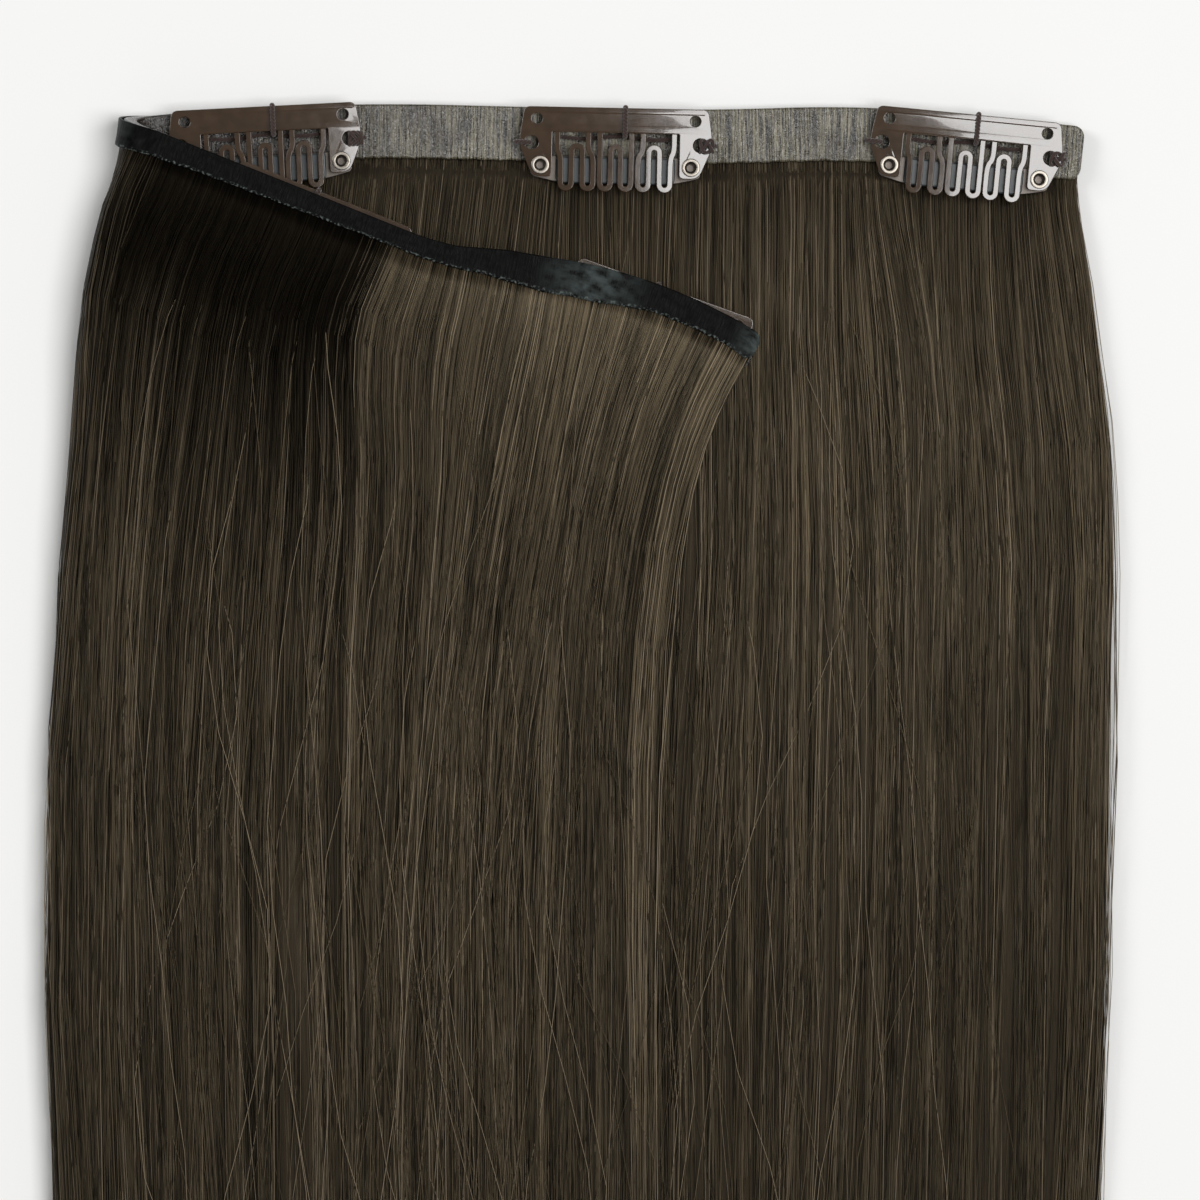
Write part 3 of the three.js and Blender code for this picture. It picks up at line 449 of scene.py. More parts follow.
FLOW = 0.45 * MM
SWEEPS = [
    # middle along the strip, breadth, shift to the right, run down the hair, distance where it lets go
    (0, 9 * MM, 1.7 * MM, 18 * MM, 60 * MM),
    (33 * MM, 6 * MM, 5 * MM, 34 * MM, 300 * MM),
    (80 * MM, 9 * MM, 3 * MM, 40 * MM, 300 * MM),
    (BACK_RUN + ROLL_LENGTH + 44 * MM, 15 * MM, 7 * MM, 42 * MM, 300 * MM),
]
RIGHT_END = 0
FLAP_END = fold(np.array(STRIP_LENGTH), 0)[2]
FOLD_LEFT = FOLD_START[0] - COVER_OUT
CORE_COLUMNS = 130
CORE_ROWS = 46
CORE_END = 0.93
LOCK_BREADTH = (9.7 * MM, 5.3 * MM, 3.1 * MM, 1.7 * MM)
LOCK_CROWN = 0.5 * MM
HAIR_STREAK = (0.22 * MM, 30 * MM)
# Painted shade on the hair, kept as its 'pressed' attribute: darker strands with less gloss beside the fold,
# at the back run's roots, low down and all down the side by the fold
SHADE, SHADE_RUN, SHADE_REACH = 0.97, 45 * MM, 62 * MM
ROOT_SHADE, ROOT_REACH = 0.45, 34 * MM
LOW_SHADE, LOW_FROM, LOW_RUN = 0.34, 95 * MM, 60 * MM
LEFT_SHADE = 0.2
SHADE_MIX = 1.8 * MM  # strands from both sides of the shade's sharp end lie among each other


def edge_x(column, y):
    """The laid hair's left or right edge at a distance below the strip's right corner."""
    spread = HAIR_SPREAD * np.interp(-y / HAIR_LENGTH, HAIR_EDGES[0], HAIR_EDGES[column])
    return FOLD_LEFT - spread if column == 1 else RIGHT_END + spread


def lane(past, turn, y, outer):
    """Where across the laid hair a root's hair hangs: a blend between the left edge and the right edge
    on the back run, or the flap's own right side beyond the fold."""
    left = edge_x(1, y) + outer
    back = left + FIT + (edge_x(2, y) - left - FIT) * np.clip(-past / BACK_RUN, 0, 1)
    over = np.clip((past - ROLL_LENGTH) / FLAP_RUN, 0, 1)
    front = left + (FLAP_END[0] - FLAP_DRIFT - left) * over
    return np.where(turn <= 0, back, np.where(turn >= np.pi, front, left))


def swept(along, fall):
    """How far the hair is brushed sideways: for each sweep of the table a bell across the strip,
    exp(-((along - middle) / breadth)^2), times a smooth step down its run and a fade of the same kind
    by its end; and a slow drift of sines."""
    free = np.clip(fall / (30 * MM), 0, 1)
    drift = np.sin(along / (9 * MM) + fall / (40 * MM))
    drift = drift + 0.6 * np.sin(along / (4.3 * MM) - fall / (27 * MM) + 2)
    total = FLOW * free * drift
    for middle, breadth, shift, run, let_go in SWEEPS:
        t = np.clip(fall / run, 0, 1)
        bell = np.exp(-(((along - middle) / breadth) ** 2) - (fall / let_go) ** 4)
        total = total + shift * bell * t * t * (3 - 2 * t)
    return total


def hair(along, down, share):
    """A point of the hair by its root along the strip, its way down and its share of the layer's
    depth. It leaves the strip square to it and settles to straight down by a critically damped curve,
    (apart + (lean + apart / ease) * fall) * exp(-fall / ease)."""
    along, down, share = np.broadcast_arrays(along, down, share)
    fall = np.maximum(down - LEAVE_DOWN, 0)
    past, turn, root = fold(along, np.full(along.shape, LEAVE_DOWN))
    above = fold(along, np.full(along.shape, LEAVE_DOWN - MM))[2]
    gap = FOLD_RADIUS * np.interp(fall / HAIR_LENGTH, HAIR_SECTIONS[0], HAIR_SECTIONS[1])
    depth = HAIR_DEPTH * np.interp(fall / HAIR_LENGTH, HAIR_SECTIONS[0], HAIR_SECTIONS[2])
    out = np.clip(fall / HAIR_LENGTH / HAIR_SECTIONS[0, 0], 0, 1)
    inner = HAIR_IN + (gap - HAIR_IN) * out
    outer = HAIR_OUT + (gap + depth - HAIR_OUT) * out
    axis = np.where(out < 1, np.maximum(COVER_OUT, outer), outer)
    y = root[..., 1] - fall
    apart = root[..., 0] - lane(past, turn, root[..., 1], outer)
    lean = (root[..., 0] - above[..., 0]) / (above[..., 1] - root[..., 1])
    settle = (apart + (lean + apart / EASE) * fall) * np.exp(-fall / EASE)
    eased = np.clip(fall / EASE, 0, 1)
    eased = (eased * eased * (3 - 2 * eased))[..., None]
    side = OUTWARDS * (1 - eased) + np.array((-1, 0)) * eased
    side = side / np.linalg.norm(side, axis=-1, keepdims=True)
    radius = inner + (outer - inner) * share
    swing = radius * np.sin(turn)
    x = lane(past, turn, y, outer) + settle + side[..., 0] * swing + swept(along, fall)
    fallen = np.stack([x, y + side[..., 1] * swing, axis - radius * np.cos(turn)], -1) + RIGHT_CORNER
    pressed = lay(along, down, HAIR_IN + (HAIR_OUT - HAIR_IN) * share)
    return np.where((down <= LEAVE_DOWN)[..., None], pressed, fallen)


def along_at(past):
    """Where along the strip a root lies that far past the start of the fold, by halving an interval."""
    low, high = 0.0, STRIP_LENGTH
    for _ in range(30):
        middle = (low + high) / 2
        low, high = (middle, high) if fold(np.array(middle), LEAVE_DOWN)[0] < past else (low, middle)
    return low


def locks_at(along, down):
    """The hair's waves of locks: sines across it whose phases drift as it falls, summed, from -1 to 1."""
    drift = np.sin(down / (61 * MM)) + 0.6 * np.sin(down / (23 * MM) + along / (19 * MM))
    waves = [
        np.sin(2 * np.pi * along / breadth + i * drift + 1.7 * i * np.sin(down / (90 * MM) + i))
        for i, breadth in enumerate(LOCK_BREADTH, 1)
    ]
    return np.sum(waves, axis=0) / len(LOCK_BREADTH)


def painted_shade_at(along, down):
    """How much painted shade the hair gets: beside the fold full at the strip and gone by the shade's reach,
    with a sharp end along the strip where the next lock lies over it; and a little at the back run's roots,
    below a third of the fall, and all down the side by the fold."""
    place = (along - BACK_RUN - ROLL_LENGTH) / SHADE_RUN
    beside = np.clip((place + 0.25) / 0.3, 0, 1) * np.clip((1 - place) / 0.06, 0, 1)
    roots = ROOT_SHADE * (along < BACK_RUN) * np.clip(1 - (down - LEAVE_DOWN) / ROOT_REACH, 0, 1)
    deep = np.maximum(SHADE * beside * np.clip(1.35 - down / SHADE_REACH, 0, 1), roots)
    low = LOW_SHADE * np.clip((down - LOW_FROM) / LOW_RUN, 0, 1)
    left = LEFT_SHADE * (along > BACK_RUN) * np.clip((1.6 - place) / 0.9, 0, 1)
    return np.maximum(deep, np.maximum(low, left))


def keep_values(piece, name, values):
    """One value for each point of a piece, kept as an attribute for its material."""
    attribute = piece.data.attributes.new(name, "FLOAT", "POINT")
    attribute.data.foreach_set("value", values.ravel().astype(np.float32))


def hair_mass(name, start, end, near, far, finish):
    """A closed slab of hair: its ring runs across the layer and back, between two shares of its depth,
    with round sides, carried down from the roots and waved into locks."""
    t = np.linspace(0, 2 * np.pi, CORE_COLUMNS * 2, endpoint=False)[None, :]
    across = np.abs(1 - t / np.pi)
    thick = 0.5 + 0.5 * np.tanh(24 * np.sin(t)) * (1 - np.abs(2 * across - 1) ** 40) ** 0.5
    steps = np.linspace(0, 1, CORE_ROWS)[:, None] ** 1.8
    down = ROOT_DOWN + BOND + (HAIR_LENGTH * CORE_END - ROOT_DOWN) * steps
    along = start + (end - start) * across
    share = near + (far - near) * thick
    free = np.clip((down - LEAVE_DOWN) / (20 * MM), 0, 1)
    wave = LOCK_CROWN * free * locks_at(along, down)
    points = hair(along, down, share)
    points[..., 2] += np.where(thick > 0.5, wave, 0) * np.clip(points[..., 2] / MM - 0.5, 0, 1)
    places = np.stack(np.broadcast_arrays(along, down), -1)
    faces = [grid_faces(*points.shape[:2]), *end_caps(*points.shape[:2])]
    mass = new_piece(name, points, faces, finish, places)
    # painted shade, kept as the 'pressed' attribute
    keep_values(mass, "pressed", painted_shade_at(along, down))
    return mass


# Human hair in bulk: dark ash brown, each fibre a fine line of satin gloss
sheen = {"Roughness": 0.5, "IOR": 1.55, "Specular Tint": linear("D8C6A6")}
bulk, tree, shader = new_finish("hair_bulk", "2E2720", sheen)
laid = add(tree, "ShaderNodeUVMap", uv_map="laid").outputs["UV"]
fine = (1 / HAIR_STREAK[0], 1 / HAIR_STREAK[1], 1)
place = add(tree, "ShaderNodeMapping", {"Vector": laid, "Scale": fine})
grain = {"Vector": place.outputs[0], "Scale": 1, "Detail": 4, "Roughness": 0.7}
streak = add(tree, "ShaderNodeTexNoise", grain)
stretched = add(tree, "ShaderNodeMapRange", {"Value": streak.outputs[0], "From Min": 0.35, "From Max": 0.75})
colours = {0: stretched.outputs[0], 6: linear("080604"), 7: linear("2A221A")}
tone = add(tree, "ShaderNodeMix", colours, data_type="RGBA")
# Painted shade: the 'pressed' attribute darkens the bulk towards near black and takes its gloss away
pressed = add(tree, "ShaderNodeAttribute", attribute_name="pressed").outputs["Fac"]
tone = add(tree, "ShaderNodeMix", {0: pressed, 6: tone.outputs[2], 7: linear("060403")}, data_type="RGBA")
gloss = add(tree, "ShaderNodeMapRange", {"Value": pressed, "To Min": 0.4, "To Max": 0.02})
tree.links.new(gloss.outputs[0], shader.inputs["Specular IOR Level"])
bump = add(tree, "ShaderNodeBump", {"Height": streak.outputs[0], "Distance": 0.15 * MM, "Strength": 0.8})
tree.links.new(tone.outputs[2], shader.inputs["Base Color"])
tree.links.new(bump.outputs[0], shader.inputs["Normal"])

BACK_SPAN = (HAIR_INSET, along_at(-FIT))
ROLL_SPAN = (along_at(FIT), along_at(ROLL_LENGTH))
FLAP_SPAN = (ROLL_SPAN[1], STRIP_LENGTH - HAIR_INSET)
for name, start, end, near, far in (
    ("hair_back", *BACK_SPAN, 0.14, 0.94),
    ("hair_front", ROLL_SPAN[0], FLAP_SPAN[1], 0.06, 0.86),
):
    mass = hair_mass(f"{name}_mass", start, end, near, far, bulk)
    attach(mass, "weft")
    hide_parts(name)

# Strands. The hair itself, straight and cut nearly to one length; each drawn strand stands for a few
# fibres, about 0.18 mm together. They gather into locks as they fall, and a few stray over the others.
STRAND_RADIUS = 0.09 * MM
STRAND_SIDES = 3
STATIONS = np.array([0, 4, 8, 12.5, 18, 26, 37, 53, 75, 106, 148, 208, 276, 352.7]) / 352.7
LOCK_PITCH = 3.6 * MM
GATHER_DOWN = 90 * MM
LOCK_SWAY = 0.7
LOCK_STEP = 0.22 * MM  # how far neighbouring locks lie above or below each other
LOCK_TONE = 0.07
LOCKS = np.random.default_rng(3).normal(0, 1, (5, 120)).clip(-1.8, 1.8)
UP = np.array((0, 0, 1))


def tubes(name, paths, radii, sides, finish, reference=UP, closed=False):
    """Paths made tubes: ring points are centre + radius * (cos a * side + sin a * rise), where side is
    the path's heading crossed with a reference and rise is side crossed with the heading."""
    if closed:
        heading = np.roll(paths, -1, axis=1) - np.roll(paths, 1, axis=1)
    else:
        heading = np.gradient(paths, axis=1)
    heading /= np.linalg.norm(heading, axis=-1, keepdims=True)
    side = np.cross(heading, reference)
    side /= np.linalg.norm(side, axis=-1, keepdims=True)
    rise = np.cross(side, heading)
    angle = (np.arange(sides) / sides * 2 * np.pi + np.pi / 2)[:, None]
    ring = np.cos(angle) * side[:, :, None] + np.sin(angle) * rise[:, :, None]
    points = paths[:, :, None] + radii[:, :, None, None] * ring
    count, steps = paths.shape[:2]
    offset = (np.arange(count) * steps * sides)[:, None, None]
    faces = [(grid_faces(steps, sides, closed)[None] + offset).reshape(-1, 4)]
    if not closed:
        faces += [(cap[None] + offset).reshape(-1, sides) for cap in end_caps(steps, sides)]
    return new_piece(name, points, faces, finish)


def strand_paths(rng, count, spans, shares, stray, stations=STATIONS):
    """Paths of strands with roots drawn along the spans: each root drifts towards its lock's middle as
    it falls, and the strand wanders by two slow sines that grow to its tip."""
    starts, ends = np.array(spans).T
    pick = rng.choice(len(starts), count, p=(ends - starts) / np.sum(ends - starts))
    along = rng.uniform(starts[pick], ends[pick])[:, None]
    share = rng.uniform(*shares, count)[:, None]
    length = rng.triangular(0.9, 0.975, 1.0, count)[:, None]
    down = ROOT_DOWN + 2 * FIT + (HAIR_LENGTH * length - ROOT_DOWN - 2 * FIT) * stations[None, :]
    lock = np.floor(along / LOCK_PITCH + rng.normal(0, 0.2, (count, 1))).astype(int)
    middle = (lock + 0.5 + 0.3 * LOCKS[0, lock]) * LOCK_PITCH
    gather = rng.uniform(0.1, 0.75, (count, 1)) * np.clip((down - LEAVE_DOWN) / GATHER_DOWN, 0, 1) ** 0.8
    low, high = min(starts), max(ends)
    loose = 1 - 0.75 * np.clip(down / HAIR_LENGTH, 0, 1) ** 3
    drawn = np.clip(along + (middle - along) * gather * loose, low, high)
    phase = rng.uniform(0, 2 * np.pi, (4, count, 1))
    slow = rng.uniform(110, 240, (count, 1)) * MM
    free = np.clip((down - LEAVE_DOWN) / (60 * MM), 0, 1)
    wander = np.sin(2 * np.pi * down / slow + phase[0]) + 0.35 * np.sin(5.3 * down / slow * np.pi + phase[1])
    paths = hair(drawn, down, share)
    together = np.sin(down / (31 * MM) + 3 * LOCKS[1, lock])
    together = together + 0.6 * np.sin(down / (17 * MM) + 3 * LOCKS[2, lock])
    paths[..., 0] += stray * free * (0.4 + down / HAIR_LENGTH) * (wander + LOCK_SWAY * together)
    paths[..., 2] += LOCK_STEP * free * LOCKS[3, lock] * np.where(along > BACK_RUN, 1, 0.7)
    return paths, down, along, 0.29 + LOCK_TONE * LOCKS[4, lock]


def finish_strands(name, rng, paths, tone, radius, finish, shaded):
    """Strand tubes that taper to their tips. Each strand's own tone, and how much painted shade it
    holds (the 'pressed' attribute), are kept as point attributes."""
    count, steps = paths.shape[:2]
    taper = 1 - 0.7 * np.linspace(0, 1, steps) ** 10
    radii = radius * rng.uniform(0.55, 1.3, (count, 1)) * taper[None, :]
    piece = tubes(name, paths, radii, STRAND_SIDES, finish)
    own = np.clip(rng.normal(tone[:, 0], 0.38), 0, 1)
    keep_values(piece, "tone", np.repeat(own, steps * STRAND_SIDES))
    keep_values(piece, "pressed", np.repeat(np.broadcast_to(shaded, (count, steps)), STRAND_SIDES))
    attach(piece, "weft")
    return piece


# Human hair: dark ash brown with a few lighter and coppery fibres, satin gloss along each
sheen = {"Roughness": 0.36, "IOR": 1.55, "Specular Tint": linear("D8C6A6")}
fibre, tree, shader = new_finish("human_hair_fibre", "3C342B", sheen)
own = add(tree, "ShaderNodeAttribute", attribute_name="tone").outputs["Fac"]
spot = add(tree, "ShaderNodeTexCoord").outputs["Object"]
long = (1 / (1.5 * MM), 1 / (24 * MM), 1 / (3 * MM))
place = add(tree, "ShaderNodeMapping", {"Vector": spot, "Scale": long})
drift = add(tree, "ShaderNodeTexNoise", {"Vector": place.outputs[0], "Scale": 1, "Detail": 2})
shift = {"Value": drift.outputs[0], "From Min": 0.25, "From Max": 0.75, "To Min": -0.25, "To Max": 0.25}
spread = add(tree, "ShaderNodeMapRange", shift)
mixed = add(tree, "ShaderNodeMath", {0: own, 1: spread.outputs[0]}, operation="ADD", use_clamp=True)
colours = {0: mixed.outputs[0], 6: linear("0A0806"), 7: linear("645845")}
tone = add(tree, "ShaderNodeMix", colours, data_type="RGBA")
pale = add(tree, "ShaderNodeMapRange", {"Value": own, "From Min": 0.93, "From Max": 1.0})
colours = {0: pale.outputs[0], 6: tone.outputs[2], 7: linear("8C7E6A")}
tone = add(tree, "ShaderNodeMix", colours, data_type="RGBA")
# Painted shade: the 'pressed' attribute darkens the strands towards near black and takes their gloss away
pressed = add(tree, "ShaderNodeAttribute", attribute_name="pressed").outputs["Fac"]
tone = add(tree, "ShaderNodeMix", {0: pressed, 6: tone.outputs[2], 7: linear("070503")}, data_type="RGBA")
gloss = add(tree, "ShaderNodeMapRange", {"Value": pressed, "To Min": 0.5, "To Max": 0.03})
tree.links.new(tone.outputs[2], shader.inputs["Base Color"])
tree.links.new(gloss.outputs[0], shader.inputs["Specular IOR Level"])

STRAND_GROUPS = [
    # name, count, spans of roots, shares of the layer's depth
    ("hair_back_upper", 2050, [(BACK_SPAN[0], 60 * MM)], (0, 0.2)),
    ("hair_back_middle", 1500, [(60 * MM, BACK_SPAN[1])], (0, 0.2)),
    ("hair_back_under", 200, [BACK_SPAN], (0.86, 0.97)),
    ("hair_flap_left", 2000, [(FLAP_SPAN[0], FLAP_SPAN[0] + 55 * MM)], (0.8, 1.02)),
    ("hair_flap_right", 1900, [(FLAP_SPAN[0] + 55 * MM, FLAP_SPAN[1])], (0.8, 1.02)),
    ("hair_fold", 300, [ROLL_SPAN], (0.75, 1.0)),
]
for seed, (name, count, spans, shares) in enumerate(STRAND_GROUPS, 11):
    rng = np.random.default_rng(seed)
    paths, down, along, tone = strand_paths(rng, count, spans, shares, 0.9 * MM)
    crown = LOCK_CROWN * np.clip((down - LEAVE_DOWN) / (20 * MM), 0, 1) * locks_at(along, down)
    paths[..., 2] += crown if "under" not in name else 0
    paths[..., 2] = np.maximum(paths[..., 2], 1.2 * STRAND_RADIUS)
    # each strand's painted shade, with its sharp end mixed among the strands
    mixed_in = along + rng.normal(0, SHADE_MIX, (count, 1)) * (along > BACK_RUN)
    shaded = painted_shade_at(mixed_in, down * rng.uniform(0.75, 1.4, (count, 1)))
    finish_strands(name, rng, paths, tone, STRAND_RADIUS, fibre, shaded)

# Stray strands. A few hairs cross the others at a slant or stand off at the sides, as on any hair
# that was brushed and laid down; they are rooted in the strip like the rest.
STRAY_COUNT = 260
STRAY_RADIUS = 0.055 * MM
STRAY_SWING = 5 * MM
STRAY_STATIONS = np.linspace(0, 1, 24) ** 1.3
STRAY_RISE = 1.6 * MM
STRAY_MARGINS = (15 * MM, 20 * MM, 12 * MM, 9 * MM)  # strays keep this far inside the two spans' ends
FRINGE_COUNT, FRINGE_REACH = 120, 1.2 * MM
FRINGE_BREADTH, FRINGE_AT = 1.5 * MM, (6 * MM, 3 * MM)  # at the right end, and back from the fold's end

rng = np.random.default_rng(71)
back_strays = (BACK_SPAN[0] + STRAY_MARGINS[0], BACK_SPAN[1] - STRAY_MARGINS[1])
flap_strays = (FLAP_SPAN[0] + STRAY_MARGINS[2], FLAP_SPAN[1] - STRAY_MARGINS[3])
spans = [back_strays, flap_strays, flap_strays]
paths, down, along, tone = strand_paths(rng, STRAY_COUNT, spans, (0.3, 0.7), 1.6 * MM, STRAY_STATIONS)
on_flap = along > BACK_RUN
start = rng.uniform(0, 70, (STRAY_COUNT, 1)) * MM
reach = np.clip((down - LEAVE_DOWN - start) / (150 * MM), 0, 1)
bend = rng.normal(0, 1, (STRAY_COUNT, 1)).clip(-2, 2)
paths[..., 0] += STRAY_SWING * bend * np.sin(np.pi * reach * rng.uniform(0.8, 2.6, (STRAY_COUNT, 1)))
top = hair(along, down, np.where(on_flap, 1.0, 0.0))[..., 2]
free = np.clip((down - LEAVE_DOWN - start) / (12 * MM), 0, 1)
lift = STRAY_RISE * rng.uniform(0.3, 1, (STRAY_COUNT, 1)) * (0.5 + 0.5 * np.sin(reach * 5 + bend))
paths[..., 2] = np.maximum(paths[..., 2] + (top - paths[..., 2] + lift) * free, STRAY_RADIUS)
finish_strands("hair_strays", rng, paths, tone + 0.45, STRAY_RADIUS, fibre, 0)

spans = [
    (BACK_SPAN[0], BACK_SPAN[0] + FRINGE_BREADTH),
    (ROLL_SPAN[1] - FRINGE_AT[0], ROLL_SPAN[1] - FRINGE_AT[1]),
]
paths, down, along, tone = strand_paths(rng, FRINGE_COUNT, spans, (0.2, 0.8), 0.7 * MM, STRAY_STATIONS)
outwards = np.where(along > BACK_RUN, -1, 1) * rng.uniform(0, 1, (FRINGE_COUNT, 1)) ** 1.5 * FRINGE_REACH
paths[..., 0] += outwards * np.sin(np.pi * np.clip((down - LEAVE_DOWN) / (210 * MM), 0, 1)) ** 0.7
paths[..., 2] = np.maximum(paths[..., 2], STRAY_RADIUS)
# The fringe is drawn paler (tone + 0.6): a painted highlight for the light rim along the hair's outer edges
finish_strands("hair_fringe", rng, paths, tone + 0.6, STRAY_RADIUS, fibre, 0)

# Clip plates. Each is a spring steel stamping with a spine, two legs and their ears, tumbled so that
# its edges are soft and dipped in brown enamel. It arches slightly, as it would over the head.
CLIP_WIDTH, TOP_WIDTH, FOOT_WIDTH = 32 * MM, 30.6 * MM, 27.6 * MM
SHEET = 0.6 * MM
SPINE_HEIGHT, PLATE_HEIGHT, COMB_HEIGHT = 4.2 * MM, 11.6 * MM, 14 * MM
COMB_WIDTH, COMB_SLOT = 20.4 * MM, 0.35 * MM
CORNER = 1.1 * MM
EAR_TOP, EAR_LOW = 4.8 * MM, 6.5 * MM
CORNER_HOLE = (13.15 * MM, 2 * MM, 0.9 * MM)  # across, down, radius
SEWING_HOLE = (14 * MM, 6 * MM, 1.15 * MM)
RIVET_HOLE = (12.5 * MM, 9.7 * MM, 1.1 * MM)
PLATE_LOW = 2 * MM
PLATE_TOP = PLATE_LOW + SHEET
PLATE_EDGE = 0.1 * MM
PLATE_ARCH, PRESSED_ARCH = 0.55 * MM, 0.15 * MM  # in view, and under the flap
ARCHES = {1: PLATE_ARCH, 2: PLATE_ARCH, 3: PLATE_ARCH, 4: PRESSED_ARCH, 5: PRESSED_ARCH}
CLIP_PITCH = 58.7 * MM
FIRST_CLIP, FIRST_FLAP_CLIP = 19.4 * MM, 30.5 * MM
FLAP_CLIP_RISE = 0.8 * MM
FLAP_START = BACK_RUN + ROLL_LENGTH
CLIPS = [
    # number, place along the strip, rise above its edge
    (1, FIRST_CLIP + 2 * CLIP_PITCH, 0),
    (2, FIRST_CLIP + CLIP_PITCH, 0),
    (3, FIRST_CLIP, 0),
    (4, FLAP_START + FIRST_FLAP_CLIP, FLAP_CLIP_RISE),
    (5, FLAP_START + FIRST_FLAP_CLIP + CLIP_PITCH, FLAP_CLIP_RISE),
]
FLEXING = (2, 3)


def clip_frame(along, rise):
    """A clip's origin on the skin and its axes, as rows: along the clip, up its face, off the skin."""
    origin = lay(along, -rise, FOLD_RADIUS)
    up = origin - lay(along, MM - rise, FOLD_RADIUS)
    out = lay(along, -rise, FOLD_RADIUS - MM) - origin
    up, out = up / np.linalg.norm(up), out / np.linalg.norm(out)
    return origin, np.stack([np.cross(up, out), up, out])


clip_frames = {number: clip_frame(along, rise) for number, along, rise in CLIPS}


def on_clip(number, points):
    """Points of a clip's own frame in the frame of the whole."""
    origin, axes = clip_frames[number]
    return origin + points @ axes


def arched(number, points):
    """Raises points by the plate's arch, rise * (1 - (x / half width)^2)."""
    rise = ARCHES[number] * (1 - np.clip(points[..., 0] / (CLIP_WIDTH / 2), -1, 1) ** 2)
    return np.concatenate([points[..., :2], points[..., 2:] + rise[..., None]], -1)


def mirrored(half):
    """An outline's right half, from the middle, and its mirror image back to the middle."""
    return [*half, *((-x, y, cut) for x, y, cut in reversed(half))]


def mottled(name, colour, values, sizes, colours, gloss=None, bump=None, detail=3):
    """A finish whose colour, gloss and bump all follow one noise of these sizes in the piece's space:
    colours are its darkest and lightest, gloss its range of roughness, bump its height and strength."""
    material, tree, shader = new_finish(name, colour, values)
    spot = add(tree, "ShaderNodeTexCoord").outputs["Object"]
    scale = tuple(1 / size for size in sizes)
    place = add(tree, "ShaderNodeMapping", {"Vector": spot, "Scale": scale})
    noise = add(tree, "ShaderNodeTexNoise", {"Vector": place.outputs[0], "Scale": 1, "Detail": detail})
    ends = {0: noise.outputs[0], 6: linear(colours[0]), 7: linear(colours[1])}
    tone = add(tree, "ShaderNodeMix", ends, data_type="RGBA")
    tree.links.new(tone.outputs[2], shader.inputs["Base Color"])
    if gloss:
        ends = {"Value": noise.outputs[0], "To Min": gloss[0], "To Max": gloss[1]}
        rough = add(tree, "ShaderNodeMapRange", ends)
        tree.links.new(rough.outputs[0], shader.inputs["Roughness"])
    if bump:
        height = {"Height": noise.outputs[0], "Distance": bump[0], "Strength": bump[1]}
        raised = add(tree, "ShaderNodeBump", height)
        tree.links.new(raised.outputs[0], shader.inputs["Normal"])
    return material


def circle(x, y, radius, steps=28):
    """A circle's points, turning clockwise, as a hole's outline does."""
    angle = -np.linspace(0, 2 * np.pi, steps, endpoint=False)
    return np.stack([x + radius * np.cos(angle), y + radius * np.sin(angle)], 1)


def stamped(outlines, low, high, edge, steps=4):
    """Points and faces of a flat plate with soft edges: each outline is carried through a profile of
    (inset, height), a quarter round at each face, and the two faces are filled between the outlines.
    The first outline turns anticlockwise and the holes clockwise, so that insets go into the metal."""
    t = np.linspace(0, np.pi / 2, steps)
    bottom = np.stack([edge * (1 - np.sin(t)), low + edge * (1 - np.cos(t))], 1)
    top = (bottom * (1, -1) + (0, low + high))[::-1]
    profile = np.vstack([[1.3 * edge, low], bottom, top, [1.3 * edge, high]])
    points, faces, rims, start = [], [], [], 0
    for outline in outlines:
        ahead = np.roll(outline, -1, axis=0) - np.roll(outline, 1, axis=0)
        out = np.stack([ahead[:, 1], -ahead[:, 0]], 1) / np.linalg.norm(ahead, axis=1, keepdims=True)
        plan = outline[None] - profile[:, :1, None] * out[None]
        height = np.broadcast_to(profile[:, 1:, None], (*plan.shape[:2], 1))
        points.append(np.concatenate([plan, height], -1).reshape(-1, 3))
        faces.append(grid_faces(len(profile), len(outline)) + start)
        rims.append(np.arange(len(outline)) + start)
        start += len(profile) * len(outline)
    points = np.vstack(points)
    rim = np.concatenate(rims)
    top_offset = np.concatenate([np.full(len(o), (len(profile) - 1) * len(o)) for o in outlines])
    loops = [[Vector((x, y, 0)) for x, y in points[r, :2]] for r in rims]
    fill = np.array(tessellate_polygon(loops))
    a, b, c = points[rim[fill]][:, :, :2].transpose(1, 0, 2)
    turning = (b - a)[:, 0] * (c - a)[:, 1] - (b - a)[:, 1] * (c - a)[:, 0]
    fill = fill[np.abs(turning) > 1e-14]
    fill = np.where((turning[np.abs(turning) > 1e-14] < 0)[:, None], fill[:, ::-1], fill)
    upper, lower = (rim + top_offset)[fill], rim[fill][:, ::-1]
    return points, [np.vstack(faces), np.vstack([upper, lower])[:, ::-1]]


plate_corners = mirrored([
    (TOP_WIDTH / 2, 0, CORNER),
    (CLIP_WIDTH / 2, -EAR_TOP, CORNER),
    (CLIP_WIDTH / 2, -EAR_LOW, 0.7 * CORNER),
    (FOOT_WIDTH / 2, -PLATE_HEIGHT, 1.2 * CORNER),
    (COMB_WIDTH / 2 + COMB_SLOT, -PLATE_HEIGHT, 0.7 * CORNER),
    (COMB_WIDTH / 2 + COMB_SLOT, -SPINE_HEIGHT, 0.2 * CORNER),
])
plate_outline = rounded(plate_corners, 7)[::-1]
plate_holes = [
    circle(side * across, -down, radius)
    for across, down, radius in (CORNER_HOLE, SEWING_HOLE, RIVET_HOLE)
    for side in (-1, 1)
]

# Dipped stoving enamel on spring steel: brown, deep gloss, slightly uneven where it pooled
enamel = mottled(
    "stoving_enamel_on_steel", "4E443E", {"IOR": 1.55, "Coat Weight": 0.85, "Coat Roughness": 0.03},
    (2.2 * MM,) * 3, ("2B1F13", "44301D"), gloss=(0.08, 0.18), bump=(0.02 * MM, 0.6),
)

